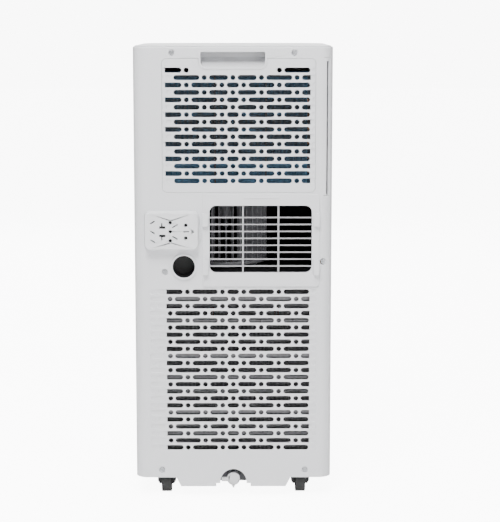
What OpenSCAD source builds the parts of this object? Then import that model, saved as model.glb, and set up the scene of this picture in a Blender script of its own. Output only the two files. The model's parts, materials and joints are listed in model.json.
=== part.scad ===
// Portable air conditioner on castors, seen as an assembly of its real pieces.
// Frame: origin on the floor under the middle of the unit, +Z up, the rear
// (hose side) faces +Y and the front (cool air side) faces -Y.
// Rear features are drawn in (u, z), where u runs to the right of someone who
// looks at the rear, so x = -u.

/* [Body] */
// Width over the side walls
body_w = 294; // [245:1:353]
// Depth from the front face to the face of the plug storage plate
overall_d = 320; // [310:1:384]
// Height from the floor to the top cover
overall_h = 676; // [676:1:812]
// Wall thickness of the casing
wall = 2.5; // [2:0.1:3.5]
// Corner radius between the rear and the sides
rear_r = 19; // [12:1:26]
// Corner radius between the front and the sides
front_r = 50; // [42:1:54]
// Depth of the rear shell's side walls
rear_shell_d = 72; // [66:1:80]
// Gap between the floor and the lower edge of the shells
shell_bottom = 28.5; // [24:0.5:30]
// Height of the casing's central underside above the floor
apron_bottom = 14.5; // [12:0.5:18]

/* [Grilles] */
// Height of one slot
slot_h = 7.4; // [6:0.1:8]
// Gap between two slots in a row
slot_gap = 3.4; // [2.5:0.1:5]
// Length of a long slot
slot_len = 37.9; // [30:0.1:46]
// Length of the short slot in the middle of an even row
short_len = 17.6; // [14:0.1:22]
// Length of the two slots beside the middle dot of an odd row
mid_len = 27.6; // [22:0.1:34]
// Height from one row to the next
row_pitch = 10.807; // [9.5:0.001:13]
// Rows in the upper grille
upper_rows = 16; // [12:1:16]
// Rows in the lower grille
lower_rows = 23; // [16:1:23]
// Height of the middle of the lower grille's lowest row
lower_row_z = 74.95; // [70:0.05:90]
// How far the blind grooves run on either side of the middle
groove_half = 124; // [118:1:126]

/* [Exhaust] */
// Width of the exhaust opening
exhaust_w = 151.3; // [120:0.1:160]
// Height of the exhaust opening
exhaust_h = 99.9; // [80:0.1:110]
// Height of the middle of the exhaust opening
exhaust_z = 391.9; // [385:0.1:396]
// Sideways place of the exhaust opening, from the rear
exhaust_u = 40.8; // [30:0.1:44]
// Corner radius of the exhaust opening
exhaust_r = 9.8; // [5:0.1:15]
// Spacing of the guard's level bars
bar_pitch = 10.35; // [9:0.05:13]
// Number of level bars
bar_count = 8; // [5:1:8]

/* [Plug storage plate] */
// How far the plate stands out of the rear
plate_proud = 14; // [10:0.5:20]
// Width of the plate
plate_w = 81.3; // [76:0.1:84]
// Height of the plate
plate_h = 57.7; // [52:0.1:62]

/* [Cord hole] */
// Radius of the cord hole
cord_r = 16.5; // [12:0.1:20]

/* [Fans] */
// Radius of the condenser fan wheel
cond_fan_r = 64; // [52:0.5:70]
// Height of the condenser fan wheel
cond_fan_h = 92; // [70:1:96]
// Radius of the evaporator fan wheel
evap_fan_r = 62; // [50:0.5:66]
// Height of the evaporator fan wheel
evap_fan_h = 66; // [50:1:70]
// Blades on a fan wheel
blade_count = 36; // [24:1:44]
// Radius of the fan motor's shaft
shaft_r = 4; // [3:0.1:5]

/* [Cool air outlet] */
// Width of the outlet in the front
outlet_w = 184; // [150:1:190]
// Height of the outlet
outlet_h = 62; // [54:1:70]
// How far the middle of the outlet lies below the top
outlet_drop = 97; // [92:1:110]
// Vertical vanes in the outlet
vane_count = 5; // [3:1:5]

/* [Castors] */
// Radius of a castor wheel
wheel_r = 20; // [16:0.5:21]
// Width of a castor wheel
wheel_w = 15.3; // [12:0.1:17]
// How far a wheel trails its swivel
castor_trail = 5; // [3:0.5:6]
// Sideways distance of the swivels from the middle
castor_x = 101.5; // [98:0.5:106]
// Distance of the swivels from the rear face and from the front face
castor_in = 32; // [31:1:50]

/* [Compressor] */
// Radius of the compressor's shell
comp_r = 58; // [50:1:60]
// Height of the compressor
comp_h = 205; // [180:1:215]

/* [Clearances] */
// Gap between pieces that slide past each other
slide_gap = 0.5; // [0.3:0.1:0.8]
// Radial clearance of a pin or shaft in its hole
pin_gap = 0.06; // [0.03:0.01:0.1]
// Radius of a casing screw's head
screw_r = 3.6; // [3:0.1:4.2]

/* [Hidden] */
$fn = 48;
eps = 0.01;

// Main planes of the casing.
front_y = -overall_d / 2;
rear_y = overall_d / 2 - plate_proud;
split_y = rear_y - rear_shell_d;
half_w = body_w / 2;
cover_rise = 1.3;
shell_top = overall_h - cover_rise;

// Upper grille: its rows hang from the top, the lower grille's rows stand on the floor.
top_row_z = overall_h - 35.45;
slot_r = slot_h / 2;
dot_pitch = slot_len + 2 * slot_gap + slot_h;      // dot to dot, over one long slot
panel_left = -104;                                 // removable grille panel, in u
panel_right = 121.1;
panel_top = overall_h - 18.7;
panel_bottom = top_row_z - (upper_rows - 0.5) * row_pitch - 11.5;
panel_r = 7;
window_left = -99.5;                               // where the grilles are open, in u
window_right = 113.9;
blind_dot = -88.8;                                 // right of the blind dots of the upper grille
groove_depth = 1.2;

// Carry handle pocket.
handle_w = 94.6;
handle_top = overall_h - 9;
handle_h = 22.7;
handle_depth = 28;
handle_rim = 3.3;
handle_r_top = 2;
handle_r_bottom = 8.5;

// Filter cassette behind the upper grille; its end cap shows at the rear corner.
filter_in = 3;                                     // depth of the cassette's outer face
filter_t = 3.2;
filter_z0 = panel_bottom + 3;
filter_z1 = handle_top - handle_h - 8;
filter_x0 = -(half_w - 20);
filter_x1 = 105;
filter_cols = 3;
rib_t = 2;
rib_z = [filter_z0 + 4, top_row_z - 10.5 * row_pitch, top_row_z - 5.5 * row_pitch, filter_z1 - 4];
cap_z0 = panel_bottom - 5.5;
cap_z1 = overall_h - 16.7;
cap_in = [0.6, 7.2];                               // depths between which the cap's slot is cut
cap_x = -(half_w - 15.2);
cap_slit = [-(half_w - 6.3), -(half_w - 9.3)];

// Exhaust plate and its hooks.
ex_plate_u = [exhaust_u - exhaust_w / 2 - 10.35, exhaust_u + exhaust_w / 2 + 11.05];
ex_plate_z = [321.2, 459];
ex_plate_t = 2.5;
hook_w = 8.3;
hook_t = 2.4;
hook_gap = 3;
catch_out = 1;                                     // how far the catch above the exhaust stands out

// Plug storage plate and the cord hole beside the exhaust.
plate_u = -90.9;
plate_z = 405.4;
cord_u = -73.1;
cord_z = 350.8;
cord_collar = 2.9;
cord_wall = 1.5;
cord_well_depth = 34;

// Fan column: one shaft carries both wheels.
fan_x = 12;
fan_y = rear_y - 126;
scroll_z0 = exhaust_z - exhaust_h / 2 - 6;         // lower scroll, underside
scroll_z1 = exhaust_z + exhaust_h / 2 + 6;
sheet = 2;                                         // thickness of a duct wall
deck_z = scroll_z1;
deck_t = 3;
motor_r = 42;
motor_h = 56;
motor_z = deck_z + deck_t + 4;
cond_fan_z = scroll_z0 + 8;
outlet_z = overall_h - outlet_drop;
upper_z0 = outlet_z - 40;                          // upper scroll, underside
upper_z1 = outlet_z + 40;
evap_fan_z = upper_z0 + 7;

// Compressor and accumulator on the floor of the tray.
tray_half = 70;
tray_floor = apron_bottom + 2;
tray_t = 2.5;
shelf_z = 50;
tray_rim = 66;
comp_pos = [5, front_y + 92];
comp_z = tray_floor + tray_t + 8;
acc_r = 20;
acc_h = 130;
acc_pos = [comp_pos[0] - comp_r - 17, comp_pos[1] - 38];
acc_z = comp_z + 62;

// Heat exchangers.
coil_in = 9;                                       // gap between the rear face and a coil
cond_t = 36;
evap_t = 30;
cond_x = 116;
evap_x = 108;
cond_z0 = shelf_z + 16;
cond_z1 = scroll_z0 - 8;
evap_z0 = deck_z + deck_t + 14;
evap_z1 = filter_z1;

// Drain notch and plug at the foot of the rear.
drain_r = 19.9;
drain_z = apron_bottom + 6.9;
spigot_r = 6;
spigot_out = 9;
drain_pull = 20;

// Castors.
axle_r = 2;
fork_w = 27.8;
fork_top = 2 * wheel_r + 2.5;
fork_low = wheel_r - 7;
stem_r = 5;
socket_z1 = shelf_z;
castors = [[-1, 1], [1, 1], [-1, -1], [1, -1]];    // x side, y side

// Control panel in the top cover.
panel_w = 150;
panel_d = 62;
panel_y = front_y + 66;
panel_t = 1.6;
button_r = 6.5;
button_gap = 22;
button_travel = 0.6;
button_names = ["power", "mode", "speed", "up", "down"];

// Cool air outlet, louvre and vanes.
bezel = 3;                                         // width of the outlet's rim
duct_half_h = outlet_h / 2 - bezel;
duct_half_w = outlet_w / 2 - bezel;
duct_end = front_y + 62;                           // where the duct meets the scroll
louvre_pin = 2.5;
louvre_y = front_y + 8;
louvre_z = outlet_z - duct_half_h + 6;
louvre_half = outlet_w / 2 - bezel - 0.8;
stepper_r = 12;
vane_pitch = (outlet_w - 24) / vane_count;
vane_y = front_y + 26;                             // pivots of the vanes
vane_front = 6;
vane_back = 27;
vane_t = 1.6;
vane_pin = 1.5;
link_arm = 22;
link_t = 2.4;
link_pin = 1.2;

function castor_pos(i) = [
    castors[i][0] * castor_x,
    castors[i][1] > 0 ? rear_y - castor_in : front_y + castor_in];
function button_x(i) = (i - 2) * button_gap;
function vane_x(i) = (i - (vane_count - 1) / 2) * vane_pitch;

// ---------------------------------------------------------------- helpers

// Children are drawn in (u, z) and stand on the rear face, from `out` in front
// of it to `thick` deeper.
module on_rear(out, thick) {
    translate([0, rear_y + out - thick, 0]) rotate([90, 0, 180]) linear_extrude(thick) children();
}

// Box from its lowest to its highest corner.
module span(a, b) {
    translate(a) cube(b - a);
}

// Rounded rectangle from corner to corner, lower radius r, upper radius rt.
module pad(a, b, r, rt = -1) {
    q = rt < 0 ? r : rt;
    translate([a[0] + r, a[1]]) square([b[0] - a[0] - 2 * r, r + eps]);
    translate([a[0], a[1] + r]) square([b[0] - a[0], b[1] - a[1] - r - q]);
    translate([a[0] + q, b[1] - q - eps]) square([b[0] - a[0] - 2 * q, q + eps]);
    for (x = [a[0] + r, b[0] - r]) translate([x, a[1] + r]) circle(r);
    for (x = [a[0] + q, b[0] - q]) translate([x, b[1] - q]) circle(q);
}

// Slot with round ends between two places along u.
module slot(u0, u1, z, r = slot_r) {
    translate([u0 + r, z - r]) square([u1 - u0 - 2 * r, 2 * r]);
    for (u = [u0 + r, u1 - r]) translate([u, z]) circle(r);
}

// One row of a grille: long slots and dots on either side of a middle piece.
// Even rows have a short slot in the middle, odd rows a dot.
module grille_row(z, odd) {
    first = odd ? slot_h + 2 * slot_gap + mid_len : short_len / 2 + slot_gap + slot_r;
    if (odd) {
        translate([0, z]) circle(slot_r);
        for (s = [-1, 1]) slot_pair(s, slot_r + slot_gap, slot_r + slot_gap + mid_len, z);
    } else {
        slot(-short_len / 2, short_len / 2, z);
    }
    for (s = [-1, 1]) for (k = [0 : 2]) {
        u = first + k * dot_pitch;
        if (u + slot_r < groove_half) {
            translate([s * u, z]) circle(slot_r);
            u1 = min(u + dot_pitch - slot_r - slot_gap, groove_half);
            if (u1 - u > 2 * slot_h) slot_pair(s, u + slot_r + slot_gap, u1, z);
        }
    }
}

// A slot mirrored to side s.
module slot_pair(s, u0, u1, z) {
    if (s > 0) slot(u0, u1, z);
    else slot(-u1, -u0, z);
}

module window(z0, z1) {
    translate([window_left, z0]) square([window_right - window_left, z1 - z0]);
}

// Plan outline of the casing, shrunk by i.
module plan(i = 0) {
    straight = [front_y + front_r, rear_y - rear_r];
    translate([-half_w + i, straight[0]]) square([body_w - 2 * i, straight[1] - straight[0]]);
    translate([-half_w + rear_r, straight[0]])
        square([body_w - 2 * rear_r, straight[1] - straight[0] + rear_r - i]);
    translate([-half_w + front_r, front_y + i])
        square([body_w - 2 * front_r, rear_y - front_y - 2 * i]);
    for (s = [-1, 1]) {
        translate([s * (half_w - rear_r), straight[1]]) circle(rear_r - i);
        translate([s * (half_w - front_r), straight[0]]) circle(front_r - i);
    }
}

// Casing wall between two heights, with an inward lip at the top.
module casing(z0, z1) {
    translate([0, 0, z0]) linear_extrude(z1 - z0) difference() { plan(); plan(wall); }
    translate([0, 0, z1 - wall]) linear_extrude(wall) difference() { plan(); plan(lip_w); }
}
lip_w = 9;

// Part of the underside that hangs between the castors.
module apron_2d() {
    polygon([[-86.2, shell_bottom + 1], [-86.2, shell_bottom], [-79, apron_bottom],
             [79, apron_bottom], [86.2, shell_bottom], [86.2, shell_bottom + 1]]);
}

// ---------------------------------------------------------------- casing

// Outline of the removable grille panel, notched round the carry handle.
module panel_2d(grow = 0) {
    difference() {
        pad([panel_left - grow, panel_bottom - grow], [panel_right + grow, panel_top + grow],
            panel_r + grow);
        pad([-handle_w / 2 - handle_rim + grow, handle_top - handle_h - handle_rim + grow],
            [handle_w / 2 + handle_rim - grow, panel_top + 20],
            handle_r_bottom + handle_rim - grow, handle_r_top);
    }
}

module handle_2d() {
    pad([-handle_w / 2, handle_top - handle_h], [handle_w / 2, handle_top],
        handle_r_bottom, handle_r_top);
}

module exhaust_2d(grow = 0) {
    pad([exhaust_u - exhaust_w / 2 - grow, exhaust_z - exhaust_h / 2 - grow],
        [exhaust_u + exhaust_w / 2 + grow, exhaust_z + exhaust_h / 2 + grow], exhaust_r + grow);
}

function upper_row_z(i) = top_row_z - i * row_pitch;
function lower_row_z(i) = lower_row_z + i * row_pitch;

module upper_rows_2d() {
    for (i = [0 : upper_rows - 1]) grille_row(upper_row_z(i), i % 2 == 1);
}

module lower_rows_2d() {
    for (i = [0 : lower_rows - 1]) grille_row(lower_row_z(i), (lower_rows - 1 - i) % 2 == 1);
}

module lower_window() {
    window(lower_row_z(0) - row_pitch, lower_row_z(lower_rows - 1) + row_pitch);
}

// Where the upper grille is open. The outermost dot of each odd row is blind.
module upper_window() {
    difference() {
        window(upper_row_z(upper_rows - 1) - row_pitch, upper_row_z(0) + row_pitch);
        for (i = [1 : 2 : upper_rows - 1])
            translate([window_left - 1, upper_row_z(i) - slot_h / 2 - 0.5])
                square([blind_dot - window_left + 1, slot_h + 1]);
    }
}

// Space cleared round the handle in the topmost row.
module handle_clear_2d() {
    translate([-62, upper_row_z(0) - row_pitch / 2]) square([124, row_pitch]);
}

screw_places = [
    [-89.5, overall_h - 10.3], [89.8, overall_h - 10.3], [-101.4, 342.7],
    [half_w - 13.5, 358.2], [-107.5, 40.55], [107.8, 40.55]];

// Depth of a screw's recess, more where it sits on the rounded corner.
function screw_sink(p) = abs(p[0]) > half_w - rear_r ? 3.4 : 2.6;

module rear_shell() color([0.93, 0.935, 0.95]) {
    difference() {
        union() {
            intersection() {
                casing(shell_bottom, shell_top);
                span([-half_w, split_y, 0], [half_w, rear_y + eps, overall_h]);
            }
            on_rear(0, wall) apron_2d();
            for (p = screw_places) if (abs(p[0]) < half_w - rear_r)
                translate([-p[0], rear_y - wall + eps, p[1]]) rotate([90, 0, 0]) cylinder(r = screw_r + 2.4, h = 5);
        }
        on_rear(eps, wall + 2 * eps) panel_2d(0.4);
        on_rear(eps, wall + 2 * eps) handle_2d();
        on_rear(eps, wall + 2 * eps) exhaust_2d();
        on_rear(eps, wall + 2 * eps) translate([cord_u, cord_z]) circle(cord_r + cord_wall + 0.05);
        on_rear(eps, wall + 2 * eps) intersection() { lower_rows_2d(); lower_window(); }
        on_rear(eps, groove_depth) difference() { lower_rows_2d(); lower_window(); }
        on_rear(eps, 30) translate([0, drain_z]) circle(drain_r);
        on_rear(eps, 30) translate([-25.9, 0]) square([51.8, drain_z - 2]);
        for (p = screw_places) {
            on_rear(eps, screw_sink(p) + eps) translate(p) circle(screw_r + 1.2);
            on_rear(eps, 8.5) translate(p) circle(1.6);
        }
        span([-half_w - 1, rear_y - cap_in[1], cap_z0], [cap_x, rear_y - cap_in[0], cap_z1]);
    }
}

module front_shell() color([0.93, 0.935, 0.95]) {
    difference() {
        union() {
            intersection() {
                casing(shell_bottom, shell_top);
                span([-half_w, front_y - eps, 0], [half_w, split_y, overall_h]);
            }
            translate([0, front_y + wall, 0]) rotate([90, 0, 0]) linear_extrude(wall) apron_2d();
        }
        translate([0, front_y + 20, 0]) rotate([90, 0, 0]) linear_extrude(40)
            pad([-outlet_w / 2, outlet_z - outlet_h / 2], [outlet_w / 2, outlet_z + outlet_h / 2], 8);
    }
}

// Lid of the casing, with a step down for the control panel.
module top_cover() color([0.93, 0.935, 0.95]) {
    difference() {
        union() {
            translate([0, 0, shell_top]) linear_extrude(cover_rise) plan(2.5);
            translate([0, 0, shell_top - 5]) linear_extrude(5 + eps)
                difference() { plan(lip_w + 0.3); plan(lip_w + 2.3); }
            span([-panel_w / 2 - 2, panel_y - panel_d / 2 - 2, shell_top - 3],
                 [panel_w / 2 + 2, panel_y + panel_d / 2 + 2, shell_top + eps]);
        }
        span([-panel_w / 2 - 0.2, panel_y - panel_d / 2 - 0.2, overall_h - panel_t],
             [panel_w / 2 + 0.2, panel_y + panel_d / 2 + 0.2, overall_h + 1]);
        for (i = [0 : 4]) translate([button_x(i), panel_y - 12, shell_top - 4])
            cylinder(r = button_r - 1.5, h = 10);
        span([-24, panel_y + 6, shell_top - 4], [24, panel_y + 24, overall_h + 1]);
    }
}

module upper_grille() color([0.94, 0.945, 0.955]) {
    difference() {
        union() {
            on_rear(0, wall) panel_2d();
            // Clips behind the edges of the opening, clear of the cassette.
            for (u = [-68, 108]) on_rear(-wall, 1.2)
                translate([u - 12, panel_top - 6]) square([24, 9]);
            for (u = [-80, 8, 92]) on_rear(-wall, 1.2)
                translate([u - 12, panel_bottom - 3]) square([24, 5.5]);
        }
        on_rear(eps, wall + 2 * eps) difference() {
            intersection() { upper_rows_2d(); upper_window(); }
            handle_clear_2d();
        }
        on_rear(eps, groove_depth) difference() {
            intersection() { upper_rows_2d(); panel_2d(-1); }
            upper_window();
        }
    }
}

// Hollow behind the rear that fingers reach up into to carry the unit.
module handle_pocket() color([0.88, 0.885, 0.9]) {
    z0 = handle_top - handle_h;
    difference() {
        intersection() {
            span([-handle_w / 2 - 3, rear_y - handle_depth - 2, z0 - 3],
                 [handle_w / 2 + 3, rear_y - wall, handle_top + 2.2]);
            rotate([90, 0, 90]) translate([0, 0, -handle_w / 2 - 3]) linear_extrude(handle_w + 6)
                polygon([[rear_y, z0 - 3], [rear_y - 5, z0 - 3], [rear_y - handle_depth - 2, z0 + 12],
                         [rear_y - handle_depth - 2, shell_top], [rear_y, shell_top]]);
        }
        intersection() {
            on_rear(1, handle_depth + 1) handle_2d();
            rotate([90, 0, 90]) translate([0, 0, -handle_w / 2]) linear_extrude(handle_w)
                polygon([[rear_y + 1, z0 - 1], [rear_y - wall, z0 + 1], [rear_y - handle_depth, z0 + 14.5],
                         [rear_y - handle_depth, handle_top + 1], [rear_y + 1, handle_top + 1]]);
        }
    }
}

// ---------------------------------------------------------------- rear fittings

module exhaust_frame() color([0.935, 0.94, 0.955]) {
    difference() {
        union() {
            on_rear(ex_plate_t, ex_plate_t)
                pad([ex_plate_u[0], ex_plate_z[0]], [ex_plate_u[1], ex_plate_z[1]], 3);
            for (z = [[411.4, 430.5], [338.8, 361.6]]) for (s = [0, 1]) hose_hook(s, z[0], z[1]);
            // Catch that the hose adaptor snaps over.
            translate([-exhaust_u - 27, rear_y + ex_plate_t - eps, 0]) rotate([90, 0, 90])
                linear_extrude(52) polygon([[-1, ex_plate_z[1] - 6.2], [catch_out, ex_plate_z[1] - 6.2],
                                            [0, ex_plate_z[1] - 0.5], [-1, ex_plate_z[1] - 0.5]]);
        }
        on_rear(ex_plate_t + 10, ex_plate_t + 20) exhaust_2d();
    }
}

// Hook that the hose adaptor's edge slides behind; side 0 is left of the opening.
module hose_hook(side, z0, z1) {
    edge = side == 0 ? ex_plate_u[0] : ex_plate_u[1] - hook_w;
    root = side == 0 ? ex_plate_u[0] : ex_plate_u[1] - 3;
    on_rear(ex_plate_t + hook_gap + hook_t, hook_gap + hook_t + eps)
        translate([root, z0]) square([3, z1 - z0]);
    on_rear(ex_plate_t + hook_gap + hook_t, hook_t)
        pad([edge, z0], [edge + hook_w, z1], 0.8);
}

// Finger guard: level and upright bars, held by a ring behind the rear wall.
module exhaust_guard() color([0.9, 0.9, 0.91]) {
    on_rear(-wall, guard_ring_t) difference() { exhaust_2d(4); exhaust_2d(); }
    on_rear(0, wall + eps) intersection() { exhaust_2d(-0.05); guard_bars_2d(); }
    on_rear(-wall, guard_ring_t - 0.5) intersection() { exhaust_2d(2); guard_bars_2d(); }
}
guard_ring_t = 2.5;
bar_h = 1.6;                                       // height of a level bar

module guard_bars_2d() {
    for (i = [0 : bar_count - 1])
        translate([-200, exhaust_z + exhaust_h / 2 - 18.8 - i * bar_pitch]) square([400, bar_h]);
    for (s = [-1, 1]) translate([exhaust_u + s * exhaust_w * 0.1735 - 1.3, 0]) square([2.6, overall_h]);
}

// Openings for plug pins, as [u, z, length, turn]; a length of 0 is a round hole.
plate_slots = [[-27.6, 12.9, 7.7, 30], [-27.6, -1.7, 7.7, -30], [-27.3, -14.8, 7.7, -30],
               [5.5, 7.6, 9, 30], [5.5, -9.9, 9, -30], [21.9, -0.8, 8.6, 0]];
plate_dots = [[-1.5, 12.5, 2.6], [-1.5, -0.8, 2.6], [-1.5, -14.3, 2.6],
              [21.3, 8.7, 2.7], [21.3, -10.3, 2.7], [31.4, -0.8, 2.1]];

// Plate on the rear that holds the plug of the power cord in storage.
module plug_plate() color([0.93, 0.935, 0.95]) {
    flat = 5;
    translate([-plate_u, 0, plate_z]) difference() {
        hull() for (x = [-1, 1]) for (z = [-1, 1]) {
            translate([x * (plate_w / 2 - 9), rear_y, z * (plate_h / 2 - 9)]) rotate([-90, 0, 0])
                cylinder(r = 9, h = 1, $fn = 32);
            translate([x * (plate_w / 2 - 9), rear_y + plate_proud - flat, z * (plate_h / 2 - 9)])
                rotate([-90, 0, 0]) cylinder(r = 8, h = flat - 1.5, $fn = 32);
            translate([x * (plate_w / 2 - 9), rear_y + plate_proud - 1, z * (plate_h / 2 - 9)])
                rotate([-90, 0, 0]) cylinder(r = 6.8, h = 1, $fn = 32);
        }
        for (p = plate_slots) plug_hole(p[0], p[1]) rotate(p[3])
            translate([-p[2] / 2, -0.9]) square([p[2], 1.8]);
        for (p = plate_dots) plug_hole(p[0], p[1]) circle(p[2]);
        for (s = [-1, 1]) plug_hole(-13.3, s * 6.25 - 0.85) {
            translate([-4.6, -1.85]) square([9.2, 3.7]);
            translate([-1.6, s > 0 ? 0 : -6.6]) square([1.8, 6.6]);
        }
    }
}

// Blind hole in the plate's face.
module plug_hole(u, z) {
    depth = 9;
    translate([-u, rear_y + plate_proud - depth, z]) rotate([90, 0, 180])
        linear_extrude(depth + 1) children();
}

// Round well beside the exhaust that the cord is tucked into, with a raised collar.
module cord_well() color([0.9, 0.905, 0.92]) {
    translate([-cord_u, rear_y - cord_well_depth, cord_z]) rotate([-90, 0, 0]) difference() {
        union() {
            cylinder(r = cord_r + cord_wall, h = cord_well_depth + 1);
            translate([0, 0, cord_well_depth]) cylinder(r = cord_r + cord_collar, h = 3.5);
            translate([0, 0, cord_well_depth - wall - 2]) cylinder(r = cord_r + 4, h = 2);
        }
        translate([0, 0, 2]) cylinder(r = cord_r, h = cord_well_depth + 10);
    }
}

// ---------------------------------------------------------------- filter

module filter_frame() color([0.85, 0.86, 0.88]) {
    y0 = rear_y - filter_in - filter_t;
    border = 5;
    difference() {
        union() {
            span([filter_x0, y0, filter_z0], [filter_x1, y0 + filter_t, filter_z1]);
            // End cap: follows the corner of the casing.
            intersection() {
                translate([0, 0, cap_z0 + 0.5]) linear_extrude(cap_z1 - cap_z0 - 1) plan(0.05);
                span([-half_w, rear_y - cap_in[1] + 0.4, 0], [cap_x - 0.2, rear_y - cap_in[0] - 0.4, overall_h]);
            }
            span([cap_x - 3, y0 + 0.2, filter_z0 + 4], [filter_x0 + eps, y0 + filter_t - 0.6, filter_z1 - 4]);
        }
        // Openings between ribs; the level ribs lie behind the bars between two rows.
        for (i = [0 : filter_cols - 1]) for (k = [0 : len(rib_z) - 2]) {
            dx = (filter_x1 - filter_x0 - 2 * border + rib_t) / filter_cols;
            span([filter_x0 + border + i * dx, y0 - 1, rib_z[k] + rib_t / 2],
                 [filter_x0 + border + (i + 1) * dx - rib_t, y0 + filter_t + 1, rib_z[k + 1] - rib_t / 2]);
        }
        span([cap_slit[0], rear_y - 12, cap_z0 + 1.7], [cap_slit[1], rear_y, cap_z1 - 5.8]);
    }
}

// Sheet of filter net that lies in the frame.
module filter_mesh() color([0.16, 0.3, 0.42]) {
    y0 = rear_y - filter_in - filter_t;
    span([filter_x0 + 2, y0 - 0.6, filter_z0 + 2], [filter_x1 - 2, y0, filter_z1 - 2]);
}

// ---------------------------------------------------------------- base

module base_tray() color([0.3, 0.31, 0.33]) {
    edge = half_w - wall - 0.3;
    outer = [[-edge, tray_rim], [-edge, shelf_z], [-tray_half - tray_t, shelf_z],
             [-tray_half - tray_t, tray_floor], [tray_half + tray_t, tray_floor],
             [tray_half + tray_t, shelf_z], [edge, shelf_z], [edge, tray_rim]];
    inner = [[-edge + tray_t, tray_rim + 1], [-edge + tray_t, shelf_z + tray_t], [-tray_half, shelf_z + tray_t],
             [-tray_half, tray_floor + tray_t], [tray_half, tray_floor + tray_t],
             [tray_half, shelf_z + tray_t], [edge - tray_t, shelf_z + tray_t], [edge - tray_t, tray_rim + 1]];
    difference() {
        intersection() {
            translate([0, rear_y, 0]) rotate([90, 0, 0]) linear_extrude(rear_y - front_y) polygon(outer);
            linear_extrude(overall_h) plan(wall + 0.3);
        }
        intersection() {
            translate([0, rear_y, 0]) rotate([90, 0, 0]) linear_extrude(rear_y - front_y) polygon(inner);
            linear_extrude(overall_h) plan(wall + tray_t + 0.3);
            span([-half_w, front_y, 0], [half_w, rear_y - wall - tray_t - 22, overall_h]);
        }
        // Shelf behind the drain recess, above the trough's raised rear end.
        intersection() {
            translate([0, 0, shelf_z + tray_t]) linear_extrude(100) plan(wall + tray_t + 0.3);
            span([-half_w, rear_y - 60, 0], [half_w, rear_y, overall_h]);
        }
        span([-tray_half - 20, rear_y - 22 - wall, 0], [tray_half + 20, rear_y, shelf_z - tray_t]);
        translate([0, rear_y - 40, drain_z + 4]) rotate([-90, 0, 0]) cylinder(r = spigot_r - 2, h = 40);
        for (i = [0 : 3]) translate([castor_pos(i)[0], castor_pos(i)[1], 0]) cylinder(r = stem_r + 2.5, h = 60);
    }
}

// Drain nozzle at the rear of the tray.
module drain_spigot() color([0.3, 0.31, 0.33]) {
    y0 = rear_y - wall - 22;
    translate([0, y0, drain_z + 4]) rotate([-90, 0, 0]) difference() {
        union() {
            cylinder(r = spigot_r, h = 22 - spigot_out + 6);
            cylinder(r = spigot_r + 3, h = 2);
            translate([0, 0, -tray_t - 2]) cylinder(r = spigot_r - 2 - 0.02, h = tray_t + 2 + eps);
        }
        translate([0, 0, -20]) cylinder(r = spigot_r - 3, h = 60);
    }
}

// Rubber bung on the nozzle, with a pull tab.
module drain_plug() color([0.9, 0.9, 0.91]) {
    y0 = rear_y - wall - 22 + 3;
    y1 = rear_y - 1.5;
    translate([0, y0, drain_z + 4]) rotate([-90, 0, 0]) difference() {
        union() {
            cylinder(r = 9.2, h = y1 - y0 - 1);
            translate([0, 0, y1 - y0 - 1 - eps]) cylinder(r1 = 9.2, r2 = 8.2, h = 1);
            translate([4, -2.5, y1 - y0 - 3]) cube([14, 6.5, 2]);
            translate([-3.5, 0, y1 - y0 - 3]) linear_extrude(2)
                polygon([[0, 6], [7, 6], [4.5, 14], [2.5, 14]]);
        }
        translate([0, 0, -1]) cylinder(r = spigot_r + pin_gap, h = 22 - spigot_out + 4.1);
    }
}

// ---------------------------------------------------------------- castors

// Bushes in the tray that the castors' stems turn in.
module castor_sockets() color([0.12, 0.12, 0.13]) {
    for (i = [0 : 3]) translate([castor_pos(i)[0], castor_pos(i)[1], shelf_z - 4]) difference() {
        union() {
            cylinder(r = stem_r + 2.4, h = 18);
            cylinder(r = stem_r + 6, h = 4);
        }
        translate([0, 0, -1]) cylinder(r = stem_r + pin_gap, h = 17);
    }
}

// Fork of castor i with its swivel stem and riveted axle.
module castor_fork(i) color([0.07, 0.07, 0.08]) {
    cheek = (fork_w - wheel_w) / 2 - 0.5;
    s = castors[i][1];
    translate([castor_pos(i)[0], castor_pos(i)[1], 0]) {
        translate([0, 0, fork_top]) cylinder(r = 11, h = shelf_z - 4.3 - fork_top);
        translate([0, 0, fork_top]) cylinder(r = stem_r, h = shelf_z + 9 - fork_top);
        translate([-fork_w / 2, s * castor_trail - 11, fork_top - 2.01]) cube([fork_w, 22, 2.5]);
        intersection() {
            for (side = [-1, 1]) translate([side * (fork_w - cheek) / 2 - cheek / 2, s * castor_trail, 0])
                rotate([90, 0, 90]) linear_extrude(cheek)
                    polygon([[-11, fork_top], [-6, fork_low], [6, fork_low], [11, fork_top]]);
            translate([0, s * castor_trail + 12, 0]) rotate([90, 0, 0]) linear_extrude(24)
                polygon([[3.5 - fork_w / 2, fork_low - 1], [fork_w / 2 - 3.5, fork_low - 1],
                         [fork_w / 2, wheel_r - 2], [fork_w / 2, fork_top + 1],
                         [-fork_w / 2, fork_top + 1], [-fork_w / 2, wheel_r - 2]]);
        }
        translate([-fork_w / 2 + 1, s * castor_trail, wheel_r]) rotate([0, 90, 0])
            cylinder(r = axle_r, h = fork_w - 2);
    }
}

module castor_wheel(i) color([0.05, 0.05, 0.055]) {
    translate([castor_pos(i)[0] - wheel_w / 2, castor_pos(i)[1] + castors[i][1] * castor_trail, wheel_r])
        rotate([0, 90, 0]) rotate_extrude() difference() {
            union() {
                translate([axle_r + pin_gap, 0]) square([wheel_r - axle_r - pin_gap - 1.5, wheel_w]);
                translate([axle_r + pin_gap, 1.5]) square([wheel_r - axle_r - pin_gap, wheel_w - 3]);
                for (h = [1.5, wheel_w - 1.5]) translate([wheel_r - 1.5, h]) circle(1.5);
            }
            for (h = [-1, wheel_w - 2]) translate([axle_r + 3, h]) square([wheel_r - axle_r - 7, 3]);
        }
}

// ---------------------------------------------------------------- cooling circuit

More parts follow.
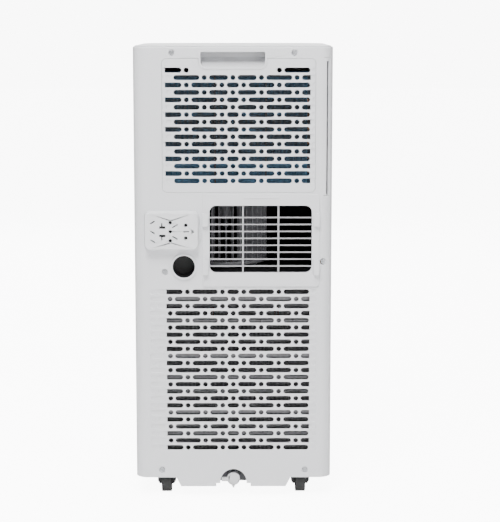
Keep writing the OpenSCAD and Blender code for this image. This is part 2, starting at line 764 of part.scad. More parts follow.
module compressor() color([0.1, 0.1, 0.11]) {
    translate([comp_pos[0], comp_pos[1], comp_z]) {
        rotate_extrude() difference() {
            union() {
                translate([0, 14]) square([comp_r, comp_h - 34]);
                square([comp_r - 14, 20]);
                translate([0, comp_h - 24]) square([comp_r - 20, 24]);
                translate([comp_r - 14, 14]) circle(14);
                translate([comp_r - 20, comp_h - 20]) circle(20);
            }
            translate([-80, -1]) square([80, comp_h + 2]);
        }
        // Mounting plate with three feet, and the terminal cover on top.
        translate([0, 0, -2.5]) linear_extrude(3) difference() {
            union() {
                circle(comp_r - 16);
                for (a = [30, 150, 270]) rotate(a) {
                    translate([0, -9]) square([foot_r, 18]);
                    translate([foot_r, 0]) circle(9);
                }
            }
            for (a = [30, 150, 270]) rotate(a) translate([foot_r, 0]) circle(4.1);
        }
        translate([-8, -14, comp_h - 1]) linear_extrude(9) pad([0, 0], [26, 28], 4);
    }
}
foot_r = comp_r + 4;

module compressor_feet() color([0.08, 0.08, 0.08]) {
    for (a = [30, 150, 270])
        translate([comp_pos[0] + foot_r * cos(a), comp_pos[1] + foot_r * sin(a), tray_floor + tray_t]) {
            cylinder(r = 8, h = comp_z - tray_floor - tray_t - 2.5);
            cylinder(r = 4, h = comp_z - tray_floor - tray_t + 6);
            translate([0, 0, comp_z - tray_floor - tray_t + 0.5]) cylinder(r = 6.5, h = 4);
        }
}

module accumulator() color([0.12, 0.12, 0.13]) {
    translate([acc_pos[0], acc_pos[1], acc_z]) {
        cylinder(r = acc_r, h = acc_h - 16);
        translate([0, 0, acc_h - 16]) sphere(acc_r);
        sphere(acc_r);
    }
    // Strap to the compressor.
    d = [comp_pos[0] - acc_pos[0], comp_pos[1] - acc_pos[1]];
    a = atan2(d[1], d[0]);
    gap = norm(d) - acc_r - comp_r;
    translate([acc_pos[0], acc_pos[1], acc_z + 40]) rotate(a)
        translate([acc_r - 1, -6, 0]) cube([gap + 1.2, 12, 16]);
}

// Block of fins between two heights, with end plates; drawn as one closed core
// with upright fins standing on its rear face.
module fin_block(x1, y1, t, z0, z1, fin_pitch) {
    span([-x1, y1 - t, z0], [x1, y1 - 1.5, z1]);
    for (x = [-x1 + 1.5 : fin_pitch : x1 - 1]) span([x, y1 - 1.6, z0], [x + 0.9, y1, z1]);
    for (s = [-1, 1]) span([s > 0 ? x1 - eps : -x1 - 1.2, y1 - t - 1, z0 - 2],
                           [s > 0 ? x1 + 1.2 : -x1 + eps, y1 + 1, z1 + 2]);
}

cond_y = rear_y - coil_in;
evap_y = rear_y - coil_in;
tube_pitch = 21;

module condenser_fins() color([0.45, 0.46, 0.48]) fin_block(cond_x, cond_y, cond_t, cond_z0, cond_z1, 5.8);
module evaporator_fins() color([0.35, 0.5, 0.62]) fin_block(evap_x, evap_y, evap_t, evap_z0, evap_z1, 5.4);
module condenser_tubes() color([0.75, 0.45, 0.25]) bends_up(cond_x, cond_y, cond_t, cond_z0, cond_z1);
module evaporator_tubes() color([0.75, 0.45, 0.25]) bends_up(evap_x, evap_y, evap_t, evap_z0, evap_z1);

// Bends turned so that each one joins two tubes one above the other.
module bends_up(x1, y1, t, z0, z1) {
    rows = floor((z1 - z0 - 10) / tube_pitch);
    for (s = [-1, 1]) for (k = [0 : rows - 1]) if ((k % 2 == 0) == (s > 0))
        translate([s * (x1 + 1.2), y1 - t / 2, z0 + 5 + (k + 0.5) * tube_pitch])
            rotate([90, 0, 0]) rotate(s > 0 ? -90 : 90) rotate_extrude(angle = 180, $fn = 24)
                translate([tube_pitch / 2, 0]) circle(3, $fn = 16);
}

// Pipe through a list of points: straight runs with round knees.
module pipe(points, r) {
    for (k = [0 : len(points) - 2]) {
        d = points[k + 1] - points[k];
        translate(points[k]) rotate([0, acos(d[2] / norm(d)), atan2(d[1], d[0])]) cylinder(r = r, h = norm(d), $fn = 20);
        if (k > 0) translate(points[k]) sphere(r, $fn = 20);
    }
}

// Suction line to the accumulator and hot gas line to the condenser.
module refrigerant_pipes() color([0.75, 0.45, 0.25]) {
    sx = -evap_x - 21;
    sy = evap_y - evap_t / 2;
    sz = scroll_z0 - 40;
    pipe([[acc_pos[0], acc_pos[1], acc_z + acc_h], [acc_pos[0], acc_pos[1], sz], [sx, acc_pos[1], sz],
          [sx, sy - 26, sz], [sx, sy - 26, evap_z0 + 30], [sx, sy - 9, evap_z0 + 30],
          [-evap_x - 1.2, sy - 9, evap_z0 + 30]], 4);
    hx = cond_x + 8;
    hy = comp_pos[1] + 14;
    hz = comp_z + comp_h + 26;
    pipe([[comp_pos[0] + 30, hy, hz - 36], [comp_pos[0] + 30, hy, hz], [hx, hy, hz],
          [hx, cond_y - cond_t - 12, hz], [hx, cond_y - cond_t - 12, cond_z1 - 40],
          [hx, cond_y - cond_t + 5, cond_z1 - 40], [cond_x + 1.2, cond_y - cond_t + 5, cond_z1 - 40]], 3);
}

// ---------------------------------------------------------------- fans

// Deck between the hot and the cold half, with the trough under the evaporator.
module partition_deck() color([0.88, 0.885, 0.9]) {
    difference() {
        union() {
            translate([0, 0, deck_z]) linear_extrude(deck_t) plan(wall + 0.3);
            difference() {
                span([-evap_x - 6, evap_y - evap_t - 6, deck_z], [evap_x + 6, evap_y + 3, evap_z0 - 1]);
                span([-evap_x - 3.5, evap_y - evap_t - 3, deck_z + deck_t], [evap_x + 3.5, evap_y + 1.5, evap_z0 + 5]);
                span([-evap_x - 7, evap_y - 4, evap_z0 - 4], [evap_x + 7, evap_y + 4, evap_z0 + 5]);
            }
        }
        translate([fan_x, fan_y, deck_z - 1]) cylinder(r = 15, h = deck_t + 2);
        for (s = [-1, 1]) translate([s * (evap_x + 21), evap_y - evap_t / 2 - 26, deck_z - 1])
            cylinder(r = 6, h = deck_t + 2);
        span([half_w - 40, front_y + 30, deck_z - 1], [half_w - 22, front_y + 48, deck_z + deck_t + 1]);
    }
}

module fan_motor() color([0.62, 0.63, 0.65]) {
    translate([fan_x, fan_y, motor_z]) difference() {
        union() {
            rotate_extrude() {
                translate([12, 0]) square([motor_r - 16, motor_h]);
                translate([12, 4]) square([motor_r - 12, motor_h - 8]);
                for (h = [4, motor_h - 4]) translate([motor_r - 4, h]) circle(4, $fn = 24);
            }
            for (z = [-2, motor_h - 4]) translate([0, 0, z]) cylinder(r = 14, h = 6);
            for (a = [45 : 90 : 315]) rotate(a) translate([motor_r - 6, -7, -4]) cube([18, 14, 4.5]);
        }
        translate([0, 0, -10]) cylinder(r = shaft_r + pin_gap, h = motor_h + 20);
    }
}

module fan_shaft() color([0.75, 0.76, 0.78]) {
    translate([fan_x, fan_y, cond_fan_z + cond_fan_h * 0.55])
        cylinder(r = shaft_r, h = evap_fan_z + evap_fan_h * 0.6 - cond_fan_z - cond_fan_h * 0.55);
}

// Drum wheel: blades between a base disc or ring and a top ring, on a hub.
// `disc_up` puts the closed disc on the upper side.
module drum_wheel(r, h, disc_up) {
    depth = 12;
    disc_z = disc_up ? h - 2.5 : 0;
    ring_z = disc_up ? 0 : h - 4;
    difference() {
        union() {
            translate([0, 0, disc_z]) cylinder(r = r, h = 2.5);
            translate([0, 0, ring_z]) difference() {
                cylinder(r = r, h = 4);
                translate([0, 0, -1]) cylinder(r = r - 5, h = 6);
            }
            translate([0, 0, disc_up ? h - 26 : 0]) cylinder(r = shaft_r + 6, h = 26);
            linear_extrude(h) for (k = [0 : blade_count - 1]) rotate(k * 360 / blade_count)
                polygon([[r - depth, -0.6], [r - depth / 2, 1.1], [r - 0.6, 0.2], [r - 0.3, 1.5],
                         [r - depth / 2, 2.5], [r - depth, 0.6]]);
        }
        translate([0, 0, -1]) cylinder(r = shaft_r, h = h + 2);
    }
}

module condenser_fan() color([0.3, 0.3, 0.32])
    translate([fan_x, fan_y, cond_fan_z]) drum_wheel(cond_fan_r, cond_fan_h, true);
module evaporator_fan() color([0.3, 0.3, 0.32])
    translate([fan_x, fan_y, evap_fan_z]) drum_wheel(evap_fan_r, evap_fan_h, false);

// Spiral outline of a scroll, clockwise from its tongue, grown by g. It widens
// to x0 on the -X side; the outlet leaves towards +Y and is e0 to e1 wide at y1.
function scroll_points(r, x0, e0, e1, y1, g) = concat(
    [[e1 + g, y1]],
    [for (a = [60 : -12 : -180])
        let (t = (60 - a) / 240, rr = r + 7 + t * (-x0 - r - 7) + g) [rr * cos(a), rr * sin(a)]],
    [[e0 - g, y1]]);

module scroll_2d(r, x0, e0, e1, y1, g) polygon(scroll_points(r, x0, e0, e1, y1, g));

// Duct wall, floor and roof round a wheel; the inlet hole is in the floor.
module scroll_case(r, h, x0, e0, e1, y1, inlet_r) {
    linear_extrude(h) difference() {
        scroll_2d(r, x0, e0, e1, y1, sheet);
        scroll_2d(r, x0, e0, e1, y1 + 1, 0);
    }
    for (z = [0, h - sheet]) translate([0, 0, z]) linear_extrude(sheet) difference() {
        scroll_2d(r, x0, e0, e1, y1, sheet);
        circle(z == 0 ? inlet_r : 18);
    }
}

module lower_scroll() color([0.1, 0.1, 0.11]) {
    e0 = -exhaust_u - exhaust_w / 2 - 6 - fan_x;
    translate([fan_x, fan_y, scroll_z0])
        scroll_case(cond_fan_r, scroll_z1 - scroll_z0, e0, e0, e0 + exhaust_w + 11,
                    rear_y - wall - 5 - fan_y, cond_fan_r - 14);
}

module upper_scroll() color([0.9, 0.9, 0.91])
    translate([fan_x, fan_y, upper_z0]) rotate(180)
        scroll_case(evap_fan_r, upper_z1 - upper_z0, -evap_fan_r - 28, fan_x - duct_half_w,
                    fan_x + duct_half_w, fan_y - duct_end, evap_fan_r - 12);

// ---------------------------------------------------------------- cool air outlet

module outlet_frame() color([0.9, 0.905, 0.92]) {
    difference() {
        union() {
            // Rim in the front wall.
            intersection() {
                translate([0, front_y + 16, 0]) rotate([90, 0, 0]) linear_extrude(16)
                    pad([-outlet_w / 2 + 0.2, outlet_z - outlet_h / 2 + 0.2],
                        [outlet_w / 2 - 0.2, outlet_z + outlet_h / 2 - 0.2], 7.8);
                translate([0, 0, outlet_z - 100]) linear_extrude(200) plan(0.2);
            }
            // Duct back to the scroll's outlet.
            span([-duct_half_w - sheet, front_y + 12, outlet_z - duct_half_h - 2.5],
                 [duct_half_w + sheet, duct_end - 0.3, outlet_z + duct_half_h + 2.5]);
        }
        span([-duct_half_w, front_y - 1, outlet_z - duct_half_h],
             [duct_half_w, duct_end + 1, outlet_z + duct_half_h]);
        translate([-outlet_w, louvre_y, louvre_z]) rotate([0, 90, 0])
            cylinder(r = louvre_pin + pin_gap, h = 2 * outlet_w);
        for (i = [0 : vane_count - 1]) translate([vane_x(i), vane_y, outlet_z - 100])
            cylinder(r = vane_pin + pin_gap, h = 200);
    }
}

// Flap that closes the outlet and swings out about its lower edge.
module louvre() color([0.93, 0.935, 0.95]) {
    y0 = front_y + 4;
    z1 = outlet_z + duct_half_h - 1;
    union() {
        translate([0, y0 + 2.5, 0]) rotate([90, 0, 0]) linear_extrude(2.5)
            pad([-louvre_half, louvre_z - 2], [louvre_half, z1], 2, 5);
        for (x = [-louvre_half, louvre_half - 3]) translate([x, louvre_y, louvre_z]) rotate([90, 0, 90])
            linear_extrude(3) {
                circle(3.6);
                translate([y0 + 1 - louvre_y, -2]) square([louvre_y - y0 - 1, 5.6]);
            }
        translate([-louvre_half - 2.6, louvre_y, louvre_z]) rotate([0, 90, 0])
            cylinder(r = louvre_pin, h = 3);
        translate([louvre_half - 0.5, louvre_y, louvre_z]) rotate([0, 90, 0])
            cylinder(r = louvre_pin, h = 7.2);
        for (k = [-2 : 2]) translate([k * louvre_half / 2.5 - 0.8, y0 + 2.4, louvre_z + 6])
            cube([1.6, 2.5, z1 - louvre_z - 12]);
    }
}

// Geared stepper that turns the louvre; its shaft sits off the middle of the can.
module louvre_motor() color([0.7, 0.71, 0.73]) {
    x0 = outlet_w / 2 + 1;
    translate([x0, louvre_y + stepper_r - 4, louvre_z]) rotate([0, 90, 0]) {
        difference() {
            cylinder(r = stepper_r, h = 11);
            translate([0, -stepper_r + 4, -1]) cylinder(r = louvre_pin + 0.5, h = 4);
        }
        for (s = [-1, 1]) translate([s * (stepper_r + 2) - 3.5, -3.5, 0]) cube([7, 7, 1.5]);
    }
}

// Upright vane i on its two pins; a pin in the notch behind drives it.
module vane(i) color([0.86, 0.865, 0.88]) {
    half = duct_half_h - 0.5;
    translate([vane_x(i), vane_y, outlet_z]) {
        difference() {
            union() {
                span([-vane_t / 2, -vane_front, -half], [vane_t / 2, vane_back, half]);
                translate([0, 0, -half]) cylinder(r = 2.6, h = 2 * half);
            }
            span([-5, link_arm - 6, -link_t / 2 - 0.6], [5, vane_back + 1, link_t / 2 + 0.6]);
        }
        translate([0, 0, -duct_half_h - 2.4]) cylinder(r = vane_pin, h = 2 * duct_half_h + 4.8);
        translate([0, link_arm, -link_t / 2 - 1]) cylinder(r = link_pin, h = link_t + 2);
    }
}

// Bar that joins the vanes; its slots leave room for the pins' small arcs.
module vane_link() color([0.2, 0.2, 0.21]) {
    reach = vane_x(vane_count - 1) + 6;
    translate([0, vane_y + link_arm, outlet_z - link_t / 2]) linear_extrude(link_t) difference() {
        translate([-reach, -5]) square([2 * reach, 9]);
        for (i = [0 : vane_count - 1]) translate([vane_x(i) - link_pin - 0.45, -3.8])
            square([2 * link_pin + 0.9, 5.6]);
    }
}

// ---------------------------------------------------------------- controls

module control_panel() color([0.06, 0.06, 0.07]) {
    translate([0, 0, overall_h - panel_t]) linear_extrude(panel_t) difference() {
        pad([-panel_w / 2, panel_y - panel_d / 2], [panel_w / 2, panel_y + panel_d / 2], 6);
        for (i = [0 : 4]) translate([button_x(i), panel_y - 12]) circle(button_r + 0.35);
        translate([-22, panel_y + 7]) square([44, 16]);
    }
}

module display_window() color([0.02, 0.02, 0.03]) {
    span([-21.9, panel_y + 7.1, overall_h - panel_t - 0.5], [21.9, panel_y + 22.9, overall_h - 0.1]);
    span([-23.8, panel_y + 6.2, overall_h - panel_t - 2.2], [23.8, panel_y + 23.8, overall_h - panel_t]);
}

module button(i) color([0.85, 0.86, 0.88]) {
    translate([button_x(i), panel_y - 12, 0]) {
        translate([0, 0, overall_h - 0.9]) cylinder(r = button_r, h = 0.9);
        translate([0, 0, board_z + 3.4]) cylinder(r = 3, h = overall_h - 0.5 - board_z - 3.4);
    }
}
board_z = shell_top - 10;

module control_board() color([0.1, 0.3, 0.18]) {
    span([-70, panel_y - 25, board_z], [70, panel_y + 27, board_z + 1.6]);
    for (i = [0 : 4]) translate([button_x(i), panel_y - 12, board_z + 1.5])
        cylinder(r = 2.2, h = 3.4 - 1.5 - button_travel - 0.1);
    span([-21, panel_y + 8, board_z + 1.5], [21, panel_y + 22, overall_h - panel_t - 2.4]);
    span([-60, panel_y - 22, board_z - 8], [-38, panel_y - 10, board_z + eps]);
    for (x = [30, 44]) translate([x, panel_y + 12, board_z - 10]) cylinder(r = 5, h = 10 + eps);
}

// Tub with the power electronics, on the deck.
module control_box() color([0.2, 0.2, 0.21]) {
    z0 = deck_z + deck_t;
    translate([0, 0, z0]) linear_extrude(66) difference() {
        pad([-half_w + 19, front_y + 28], [-half_w + 83, front_y + 104], 3);
        pad([-half_w + 21, front_y + 30], [-half_w + 81, front_y + 102], 2);
    }
    translate([0, 0, z0]) linear_extrude(2) pad([-half_w + 19, front_y + 28], [-half_w + 83, front_y + 104], 3);
    translate([0, 0, z0 + 66]) linear_extrude(2) pad([-half_w + 18, front_y + 27], [-half_w + 84, front_y + 105], 3);
}

module run_capacitor() color([0.8, 0.81, 0.83]) {
    translate([-half_w + 96, front_y + 66, deck_z + deck_t]) {
        cylinder(r = 11, h = 58);
        cylinder(r = 12, h = 6);
        for (s = [-1, 1]) translate([s * 4 - 1, -3, 57]) cube([2, 6, 8]);
    }
}

// Stem of the switch that stops the unit when the tray is full.
float_pos = [-tray_half - 28, -6, shelf_z + tray_t];
float_travel = 11;
module float_stem() color([0.85, 0.86, 0.88]) translate(float_pos) {
    cylinder(r = 2.5, h = 34);
    cylinder(r = 7, h = 5);
    translate([0, 0, 16 + float_travel]) cylinder(r = 6, h = 8);
}

module float_ring() color([0.85, 0.8, 0.6]) translate(float_pos + [0, 0, 5]) difference() {
    cylinder(r = 9, h = 11);
    translate([0, 0, -1]) cylinder(r = 2.9, h = 13);
}

module casing_screws() color([0.6, 0.61, 0.63]) {
    for (p = screw_places) translate([-p[0], rear_y - screw_sink(p), p[1]])
        rotate([-90, 0, 0]) difference() {
            union() {
                cylinder(r = screw_r, h = 1.6);
                translate([0, 0, -4]) cylinder(r = 1.5, h = 4.1);
            }
            for (a = [45, 135]) rotate(a) translate([-2.2, -0.4, 0.7]) cube([4.4, 0.8, 1]);
        }
}

// ---------------------------------------------------------------- pieces

rear_shell();
front_shell();
top_cover();
upper_grille();
handle_pocket();
exhaust_frame();
exhaust_guard();
plug_plate();
cord_well();
filter_frame();
filter_mesh();
base_tray();
drain_spigot();
drain_plug();
castor_sockets();
castor_fork(0);  // castor_fork_1
castor_fork(1);  // castor_fork_2
castor_fork(2);  // castor_fork_3
castor_fork(3);  // castor_fork_4
castor_wheel(0);  // castor_wheel_1
castor_wheel(1);  // castor_wheel_2
castor_wheel(2);  // castor_wheel_3
castor_wheel(3);  // castor_wheel_4
compressor();
compressor_feet();
accumulator();
condenser_fins();
condenser_tubes();
evaporator_fins();
evaporator_tubes();
refrigerant_pipes();
partition_deck();
fan_motor();
fan_shaft();
condenser_fan();
evaporator_fan();
lower_scroll();
upper_scroll();
outlet_frame();
louvre();
louvre_motor();
vane(0);  // vane_1
vane(1);  // vane_2
vane(2);  // vane_3
vane(3);  // vane_4
vane(4);  // vane_5
vane_link();
control_panel();
display_window();
button(0);  // button_power
button(1);  // button_mode
button(2);  // button_speed
button(3);  // button_up
button(4);  // button_down
control_board();
control_box();
run_capacitor();
float_stem();
float_ring();
casing_screws();
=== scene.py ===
"""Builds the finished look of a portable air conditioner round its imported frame.

Laid out as an add-on: the property groups hold the sizes and colours, each
operator makes one piece or one group of like pieces, and main() calls them in
order.
"""

import json
import math

import bmesh
import bpy
from mathutils import Matrix, Vector

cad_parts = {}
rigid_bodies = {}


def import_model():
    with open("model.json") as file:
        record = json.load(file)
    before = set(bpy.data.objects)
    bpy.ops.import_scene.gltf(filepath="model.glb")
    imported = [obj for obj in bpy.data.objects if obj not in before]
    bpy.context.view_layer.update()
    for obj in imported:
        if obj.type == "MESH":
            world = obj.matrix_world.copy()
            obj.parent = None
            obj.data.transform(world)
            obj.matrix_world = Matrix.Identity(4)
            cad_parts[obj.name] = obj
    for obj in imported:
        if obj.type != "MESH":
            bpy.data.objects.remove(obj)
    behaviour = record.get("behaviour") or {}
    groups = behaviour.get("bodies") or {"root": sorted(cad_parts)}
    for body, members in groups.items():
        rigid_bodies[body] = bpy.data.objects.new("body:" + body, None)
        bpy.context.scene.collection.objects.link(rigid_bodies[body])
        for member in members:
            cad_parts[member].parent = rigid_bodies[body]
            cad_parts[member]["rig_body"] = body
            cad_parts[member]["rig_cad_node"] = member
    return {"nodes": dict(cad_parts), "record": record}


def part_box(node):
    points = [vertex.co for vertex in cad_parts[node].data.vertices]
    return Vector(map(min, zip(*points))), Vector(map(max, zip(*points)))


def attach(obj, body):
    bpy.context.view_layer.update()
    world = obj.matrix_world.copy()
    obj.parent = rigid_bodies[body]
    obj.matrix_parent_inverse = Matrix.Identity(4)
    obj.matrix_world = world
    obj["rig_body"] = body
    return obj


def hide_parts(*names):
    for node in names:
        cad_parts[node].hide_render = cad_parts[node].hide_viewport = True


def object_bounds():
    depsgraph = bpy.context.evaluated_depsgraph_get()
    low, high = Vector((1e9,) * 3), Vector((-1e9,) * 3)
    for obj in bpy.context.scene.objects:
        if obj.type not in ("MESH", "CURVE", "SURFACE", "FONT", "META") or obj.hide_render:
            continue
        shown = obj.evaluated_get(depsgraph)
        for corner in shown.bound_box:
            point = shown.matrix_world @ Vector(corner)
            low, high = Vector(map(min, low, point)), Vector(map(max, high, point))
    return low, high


bl_info = {
    "name": "Portable Air Conditioner",
    "version": (1, 0, 0),
    "blender": (4, 5, 0),
    "location": "View3D > Sidebar > Air Conditioner",
    "description": "Models and finishes a portable air conditioner on its frame",
    "category": "Object",
}

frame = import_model()
FRAME_LOW, FRAME_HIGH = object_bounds()
MM = 0.001
X_AXIS, Y_AXIS, Z_AXIS = Vector((1, 0, 0)), Vector((0, 1, 0)), Vector((0, 0, 1))


# ------------------------------------------------------------------ shader maths


class Channel:
    """A shader socket that takes part in Python expressions."""

    def __init__(self, paint, socket):
        self.paint = paint
        self.socket = socket

    def _math(self, operation, first, second=0.0):
        return self.paint.node("ShaderNodeMath", {"operation": operation}, {0: first, 1: second})

    def __add__(self, other):
        return self._math("ADD", self, other)

    def __radd__(self, other):
        return self._math("ADD", other, self)

    def __sub__(self, other):
        return self._math("SUBTRACT", self, other)

    def __rsub__(self, other):
        return self._math("SUBTRACT", other, self)

    def __mul__(self, other):
        return self._math("MULTIPLY", self, other)

    def __rmul__(self, other):
        return self._math("MULTIPLY", other, self)

    def __truediv__(self, other):
        return self._math("DIVIDE", self, other)

    def __gt__(self, other):
        return self._math("GREATER_THAN", self, other)

    def __lt__(self, other):
        return self._math("LESS_THAN", self, other)

    def __abs__(self):
        return self._math("ABSOLUTE", self)

    def power(self, exponent):
        return self._math("POWER", self, exponent)

    def highest(self, other):
        return self._math("MAXIMUM", self, other)

    def lowest(self, other):
        return self._math("MINIMUM", self, other)

    def sine(self):
        return self._math("SINE", self)


class Paint:
    """One material and the nodes that lead to its Principled shader."""

    def __init__(self, name, colour, roughness, **sockets):
        self.material = bpy.data.materials.new(name)
        self.material.use_nodes = True
        self.tree = self.material.node_tree
        self.shader = self.tree.nodes["Principled BSDF"]
        self.material.diffuse_color = (*colour[:3], 1)
        self.set("Base Color", (*colour[:3], 1))
        self.set("Roughness", roughness)
        for key, value in sockets.items():
            self.set(key.replace("_", " ").title().replace("Ior", "IOR"), value)

    def node(self, kind, settings, inputs, output=0):
        """Adds a node: settings first, then the values or links of its sockets."""
        made = self.tree.nodes.new(kind)
        for key, value in settings.items():
            if key == "stops":
                self._stops(made.color_ramp, value)
            else:
                setattr(made, key, value)
        for key, value in inputs.items():
            if isinstance(value, Channel):
                self.tree.links.new(value.socket, made.inputs[key])
            else:
                made.inputs[key].default_value = value
        return Channel(self, made.outputs[output])

    @staticmethod
    def _stops(ramp, stops):
        while len(ramp.elements) < len(stops):
            ramp.elements.new(1.0)
        for element, (place, colour) in zip(ramp.elements, stops):
            element.position = place
            element.color = (*colour[:3], 1) if isinstance(colour, (tuple, list)) else (colour,) * 3 + (1,)

    def set(self, name, value):
        """Sets a socket of the shader to a number, a colour or a channel."""
        if isinstance(value, Channel):
            self.tree.links.new(value.socket, self.shader.inputs[name])
        else:
            self.shader.inputs[name].default_value = value

    def coordinates(self):
        return self.node("ShaderNodeTexCoord", {}, {}, "Object")

    def axis(self, which):
        """Position along X, Y or Z in metres."""
        return self.node("ShaderNodeSeparateXYZ", {}, {0: self.coordinates()}, which)

    def stretched(self, scale):
        return self.node(
            "ShaderNodeMapping", {}, {"Vector": self.coordinates(), "Scale": scale})

    def noise(self, scale, detail=3.0, roughness=0.5, vector=None):
        where = vector or self.coordinates()
        return self.node(
            "ShaderNodeTexNoise", {},
            {"Vector": where, "Scale": scale, "Detail": detail, "Roughness": roughness})

    def spots(self, scale, feature="F1"):
        return self.node(
            "ShaderNodeTexVoronoi", {"feature": feature},
            {"Vector": self.coordinates(), "Scale": scale})

    def ramp(self, channel, stops):
        return self.node("ShaderNodeValToRGB", {"stops": stops}, {0: channel})

    def mix(self, factor, first, second):
        """Blend of two colours, each a colour or a channel."""
        made = self.tree.nodes.new("ShaderNodeMix")
        made.data_type = "RGBA"
        for key, value in ((0, factor), (6, first), (7, second)):
            if isinstance(value, Channel):
                self.tree.links.new(value.socket, made.inputs[key])
            else:
                made.inputs[key].default_value = (*value[:3], 1) if key else value
        return Channel(self, made.outputs[2])

    def bump(self, height, distance, strength=1.0):
        self.set("Normal", self.node(
            "ShaderNodeBump", {},
            {"Height": height, "Distance": distance, "Strength": strength}))


# ------------------------------------------------------------------ finishes


def moulded(name, colour, roughness=0.38, grain=2600.0, depth=0.00003, drift=0.03, coat=0.0):
    """Moulded plastic: fine spark-eroded grain and a faint drift of colour."""
    paint = Paint(name, colour, roughness)
    drifting = paint.noise(9.0, 2.0)
    shade = tuple(c * (1 - drift) for c in colour)
    paint.set("Base Color", paint.mix(drifting, colour, shade))
    fine = paint.noise(grain, 2.0)
    scuffs = paint.noise(55.0, 5.0, 0.7)
    paint.set("Roughness", roughness - 0.05 + 0.06 * fine + 0.05 * scuffs)
    paint.bump(fine, depth, 0.35)
    if coat:
        paint.set("Coat Weight", coat)
        paint.set("Coat Roughness", 0.12)
    return paint.material


def enamel(name, colour):
    """Sprayed enamel on steel: slight orange peel and worn dust."""
    paint = Paint(name, colour, 0.3)
    peel = paint.noise(420.0, 2.0)
    dust = paint.noise(28.0, 6.0, 0.65)
    paint.set("Base Color", paint.mix(dust.power(3.0), colour, (0.16, 0.15, 0.14)))
    paint.set("Roughness", 0.24 + 0.3 * dust)
    paint.bump(peel, 0.00006, 0.5)
    return paint.material


def zinc(name, colour, spangle=240.0):
    """Zinc-plated steel with a spangle of crystals."""
    paint = Paint(name, colour, 0.35, metallic=1.0)
    crystal = paint.node(
        "ShaderNodeTexVoronoi", {}, {"Vector": paint.coordinates(), "Scale": spangle}, "Color")
    grey = paint.node("ShaderNodeRGBToBW", {}, {0: crystal})
    paint.set("Base Color", paint.mix(grey * 0.5, colour, tuple(c * 0.72 for c in colour)))
    paint.set("Roughness", 0.26 + 0.2 * grey)
    paint.bump(paint.noise(900.0, 2.0), 0.00002, 0.3)
    return paint.material


def copper(name):
    """Drawn copper tube with brown tarnish."""
    paint = Paint(name, (0.72, 0.36, 0.2), 0.3, metallic=1.0)
    tarnish = paint.noise(60.0, 5.0, 0.6)
    bright = paint.mix(tarnish.power(2.0), (0.78, 0.4, 0.24), (0.25, 0.11, 0.06))
    paint.set("Base Color", bright)
    paint.set("Roughness", 0.2 + 0.35 * tarnish)
    paint.bump(paint.noise(700.0, 2.0), 0.00002, 0.3)
    return paint.material


def fin_metal(name, colour, tint):
    """Thin fin strip: a row of pressed ripples and a tint that varies by batch."""
    paint = Paint(name, colour, 0.42, metallic=0.6)
    batch = paint.noise(35.0, 3.0)
    paint.set("Base Color", paint.mix(batch, colour, tint))
    ripple = (paint.axis("Z") * 900.0).sine()
    paint.set("Roughness", 0.38 + 0.14 * batch)
    paint.bump(ripple, 0.0001, 0.4)
    return paint.material


def rubber(name, colour, roughness=0.7):
    """Moulded rubber with a dry bloom."""
    paint = Paint(name, colour, roughness)
    bloom = paint.noise(70.0, 5.0, 0.7)
    paler = tuple(min(1, c * 1.3 + 0.02) for c in colour)
    paint.set("Base Color", paint.mix(bloom.power(2.0), colour, paler))
    paint.set("Roughness", roughness - 0.12 + 0.2 * bloom)
    paint.bump(paint.noise(1500.0, 2.0), 0.00004, 0.5)
    return paint.material


def net_cloth(name, colour, middle, pitch, level):
    """Woven filter net: open squares between threads, darker towards a middle height."""
    paint = Paint(name, colour, 0.6)
    away = (abs(paint.axis("Z") - level) / 0.075).lowest(1.0)
    tint = paint.mix(away.power(2.0), middle, colour)
    turns = math.tau / pitch
    warp = abs((paint.axis("X") * (turns / 2)).sine())
    weft = abs((paint.axis("Z") * (turns / 2)).sine())
    thread = (warp.lowest(weft)) < 0.36
    crossing = warp.highest(weft)
    paint.set("Base Color", paint.mix(crossing * 0.35, tint, (0.02, 0.025, 0.03)))
    paint.set("Roughness", 0.5 + 0.2 * crossing)
    paint.set("Alpha", thread * 0.92)
    paint.bump(1.0 - crossing, 0.0002, 0.6)
    return paint.material


def circuit_board(name):
    """Green solder mask with copper tracks showing through."""
    paint = Paint(name, (0.01, 0.09, 0.04), 0.28)
    tracks = paint.node(
        "ShaderNodeTexBrick", {"offset": 0.37},
        {"Vector": paint.coordinates(), "Scale": 160.0, "Mortar Size": 0.03,
         "Color1": (0, 0, 0, 1), "Color2": (0, 0, 0, 1), "Mortar": (1, 1, 1, 1)}, "Fac")
    paint.set("Base Color", paint.mix(tracks, (0.01, 0.09, 0.04), (0.05, 0.2, 0.08)))
    paint.set("Roughness", 0.25 + 0.1 * tracks)
    paint.bump(tracks, 0.00004, 0.6)
    return paint.material


def gloss_black(name, colour, roughness=0.08):
    """Polished acrylic with faint hairline wipe marks."""
    paint = Paint(name, colour, roughness)
    wiped = paint.noise(30.0, 6.0, 0.7, paint.stretched((1.0, 14.0, 14.0)))
    paint.set("Base Color", paint.mix(wiped, colour, tuple(c * 1.25 for c in colour)))
    paint.set("Roughness", roughness + 0.07 * wiped)
    paint.bump(wiped, 0.000008, 0.2)
    return paint.material


def glow(name, colour, strength):
    """Lit mark behind the acrylic."""
    paint = Paint(name, colour, 0.4)
    unevenness = paint.noise(400.0, 2.0)
    paint.set("Emission Color", paint.mix(unevenness, colour, tuple(c * 0.8 for c in colour)))
    paint.set("Emission Strength", strength)
    return paint.material


# ------------------------------------------------------------------ modelling steps


def pick(*objects):
    """Selects only these objects; the first one is active."""
    bpy.ops.object.select_all(action="DESELECT")
    for obj in objects:
        obj.hide_set(False)
        obj.select_set(True)
    bpy.context.view_layer.objects.active = objects[0]
    return objects[0]


def settle(obj):
    """Moves an object's place into its mesh, so that the object sits at the origin."""
    pick(obj)
    bpy.ops.object.transform_apply(location=True, rotation=True, scale=True)
    return obj


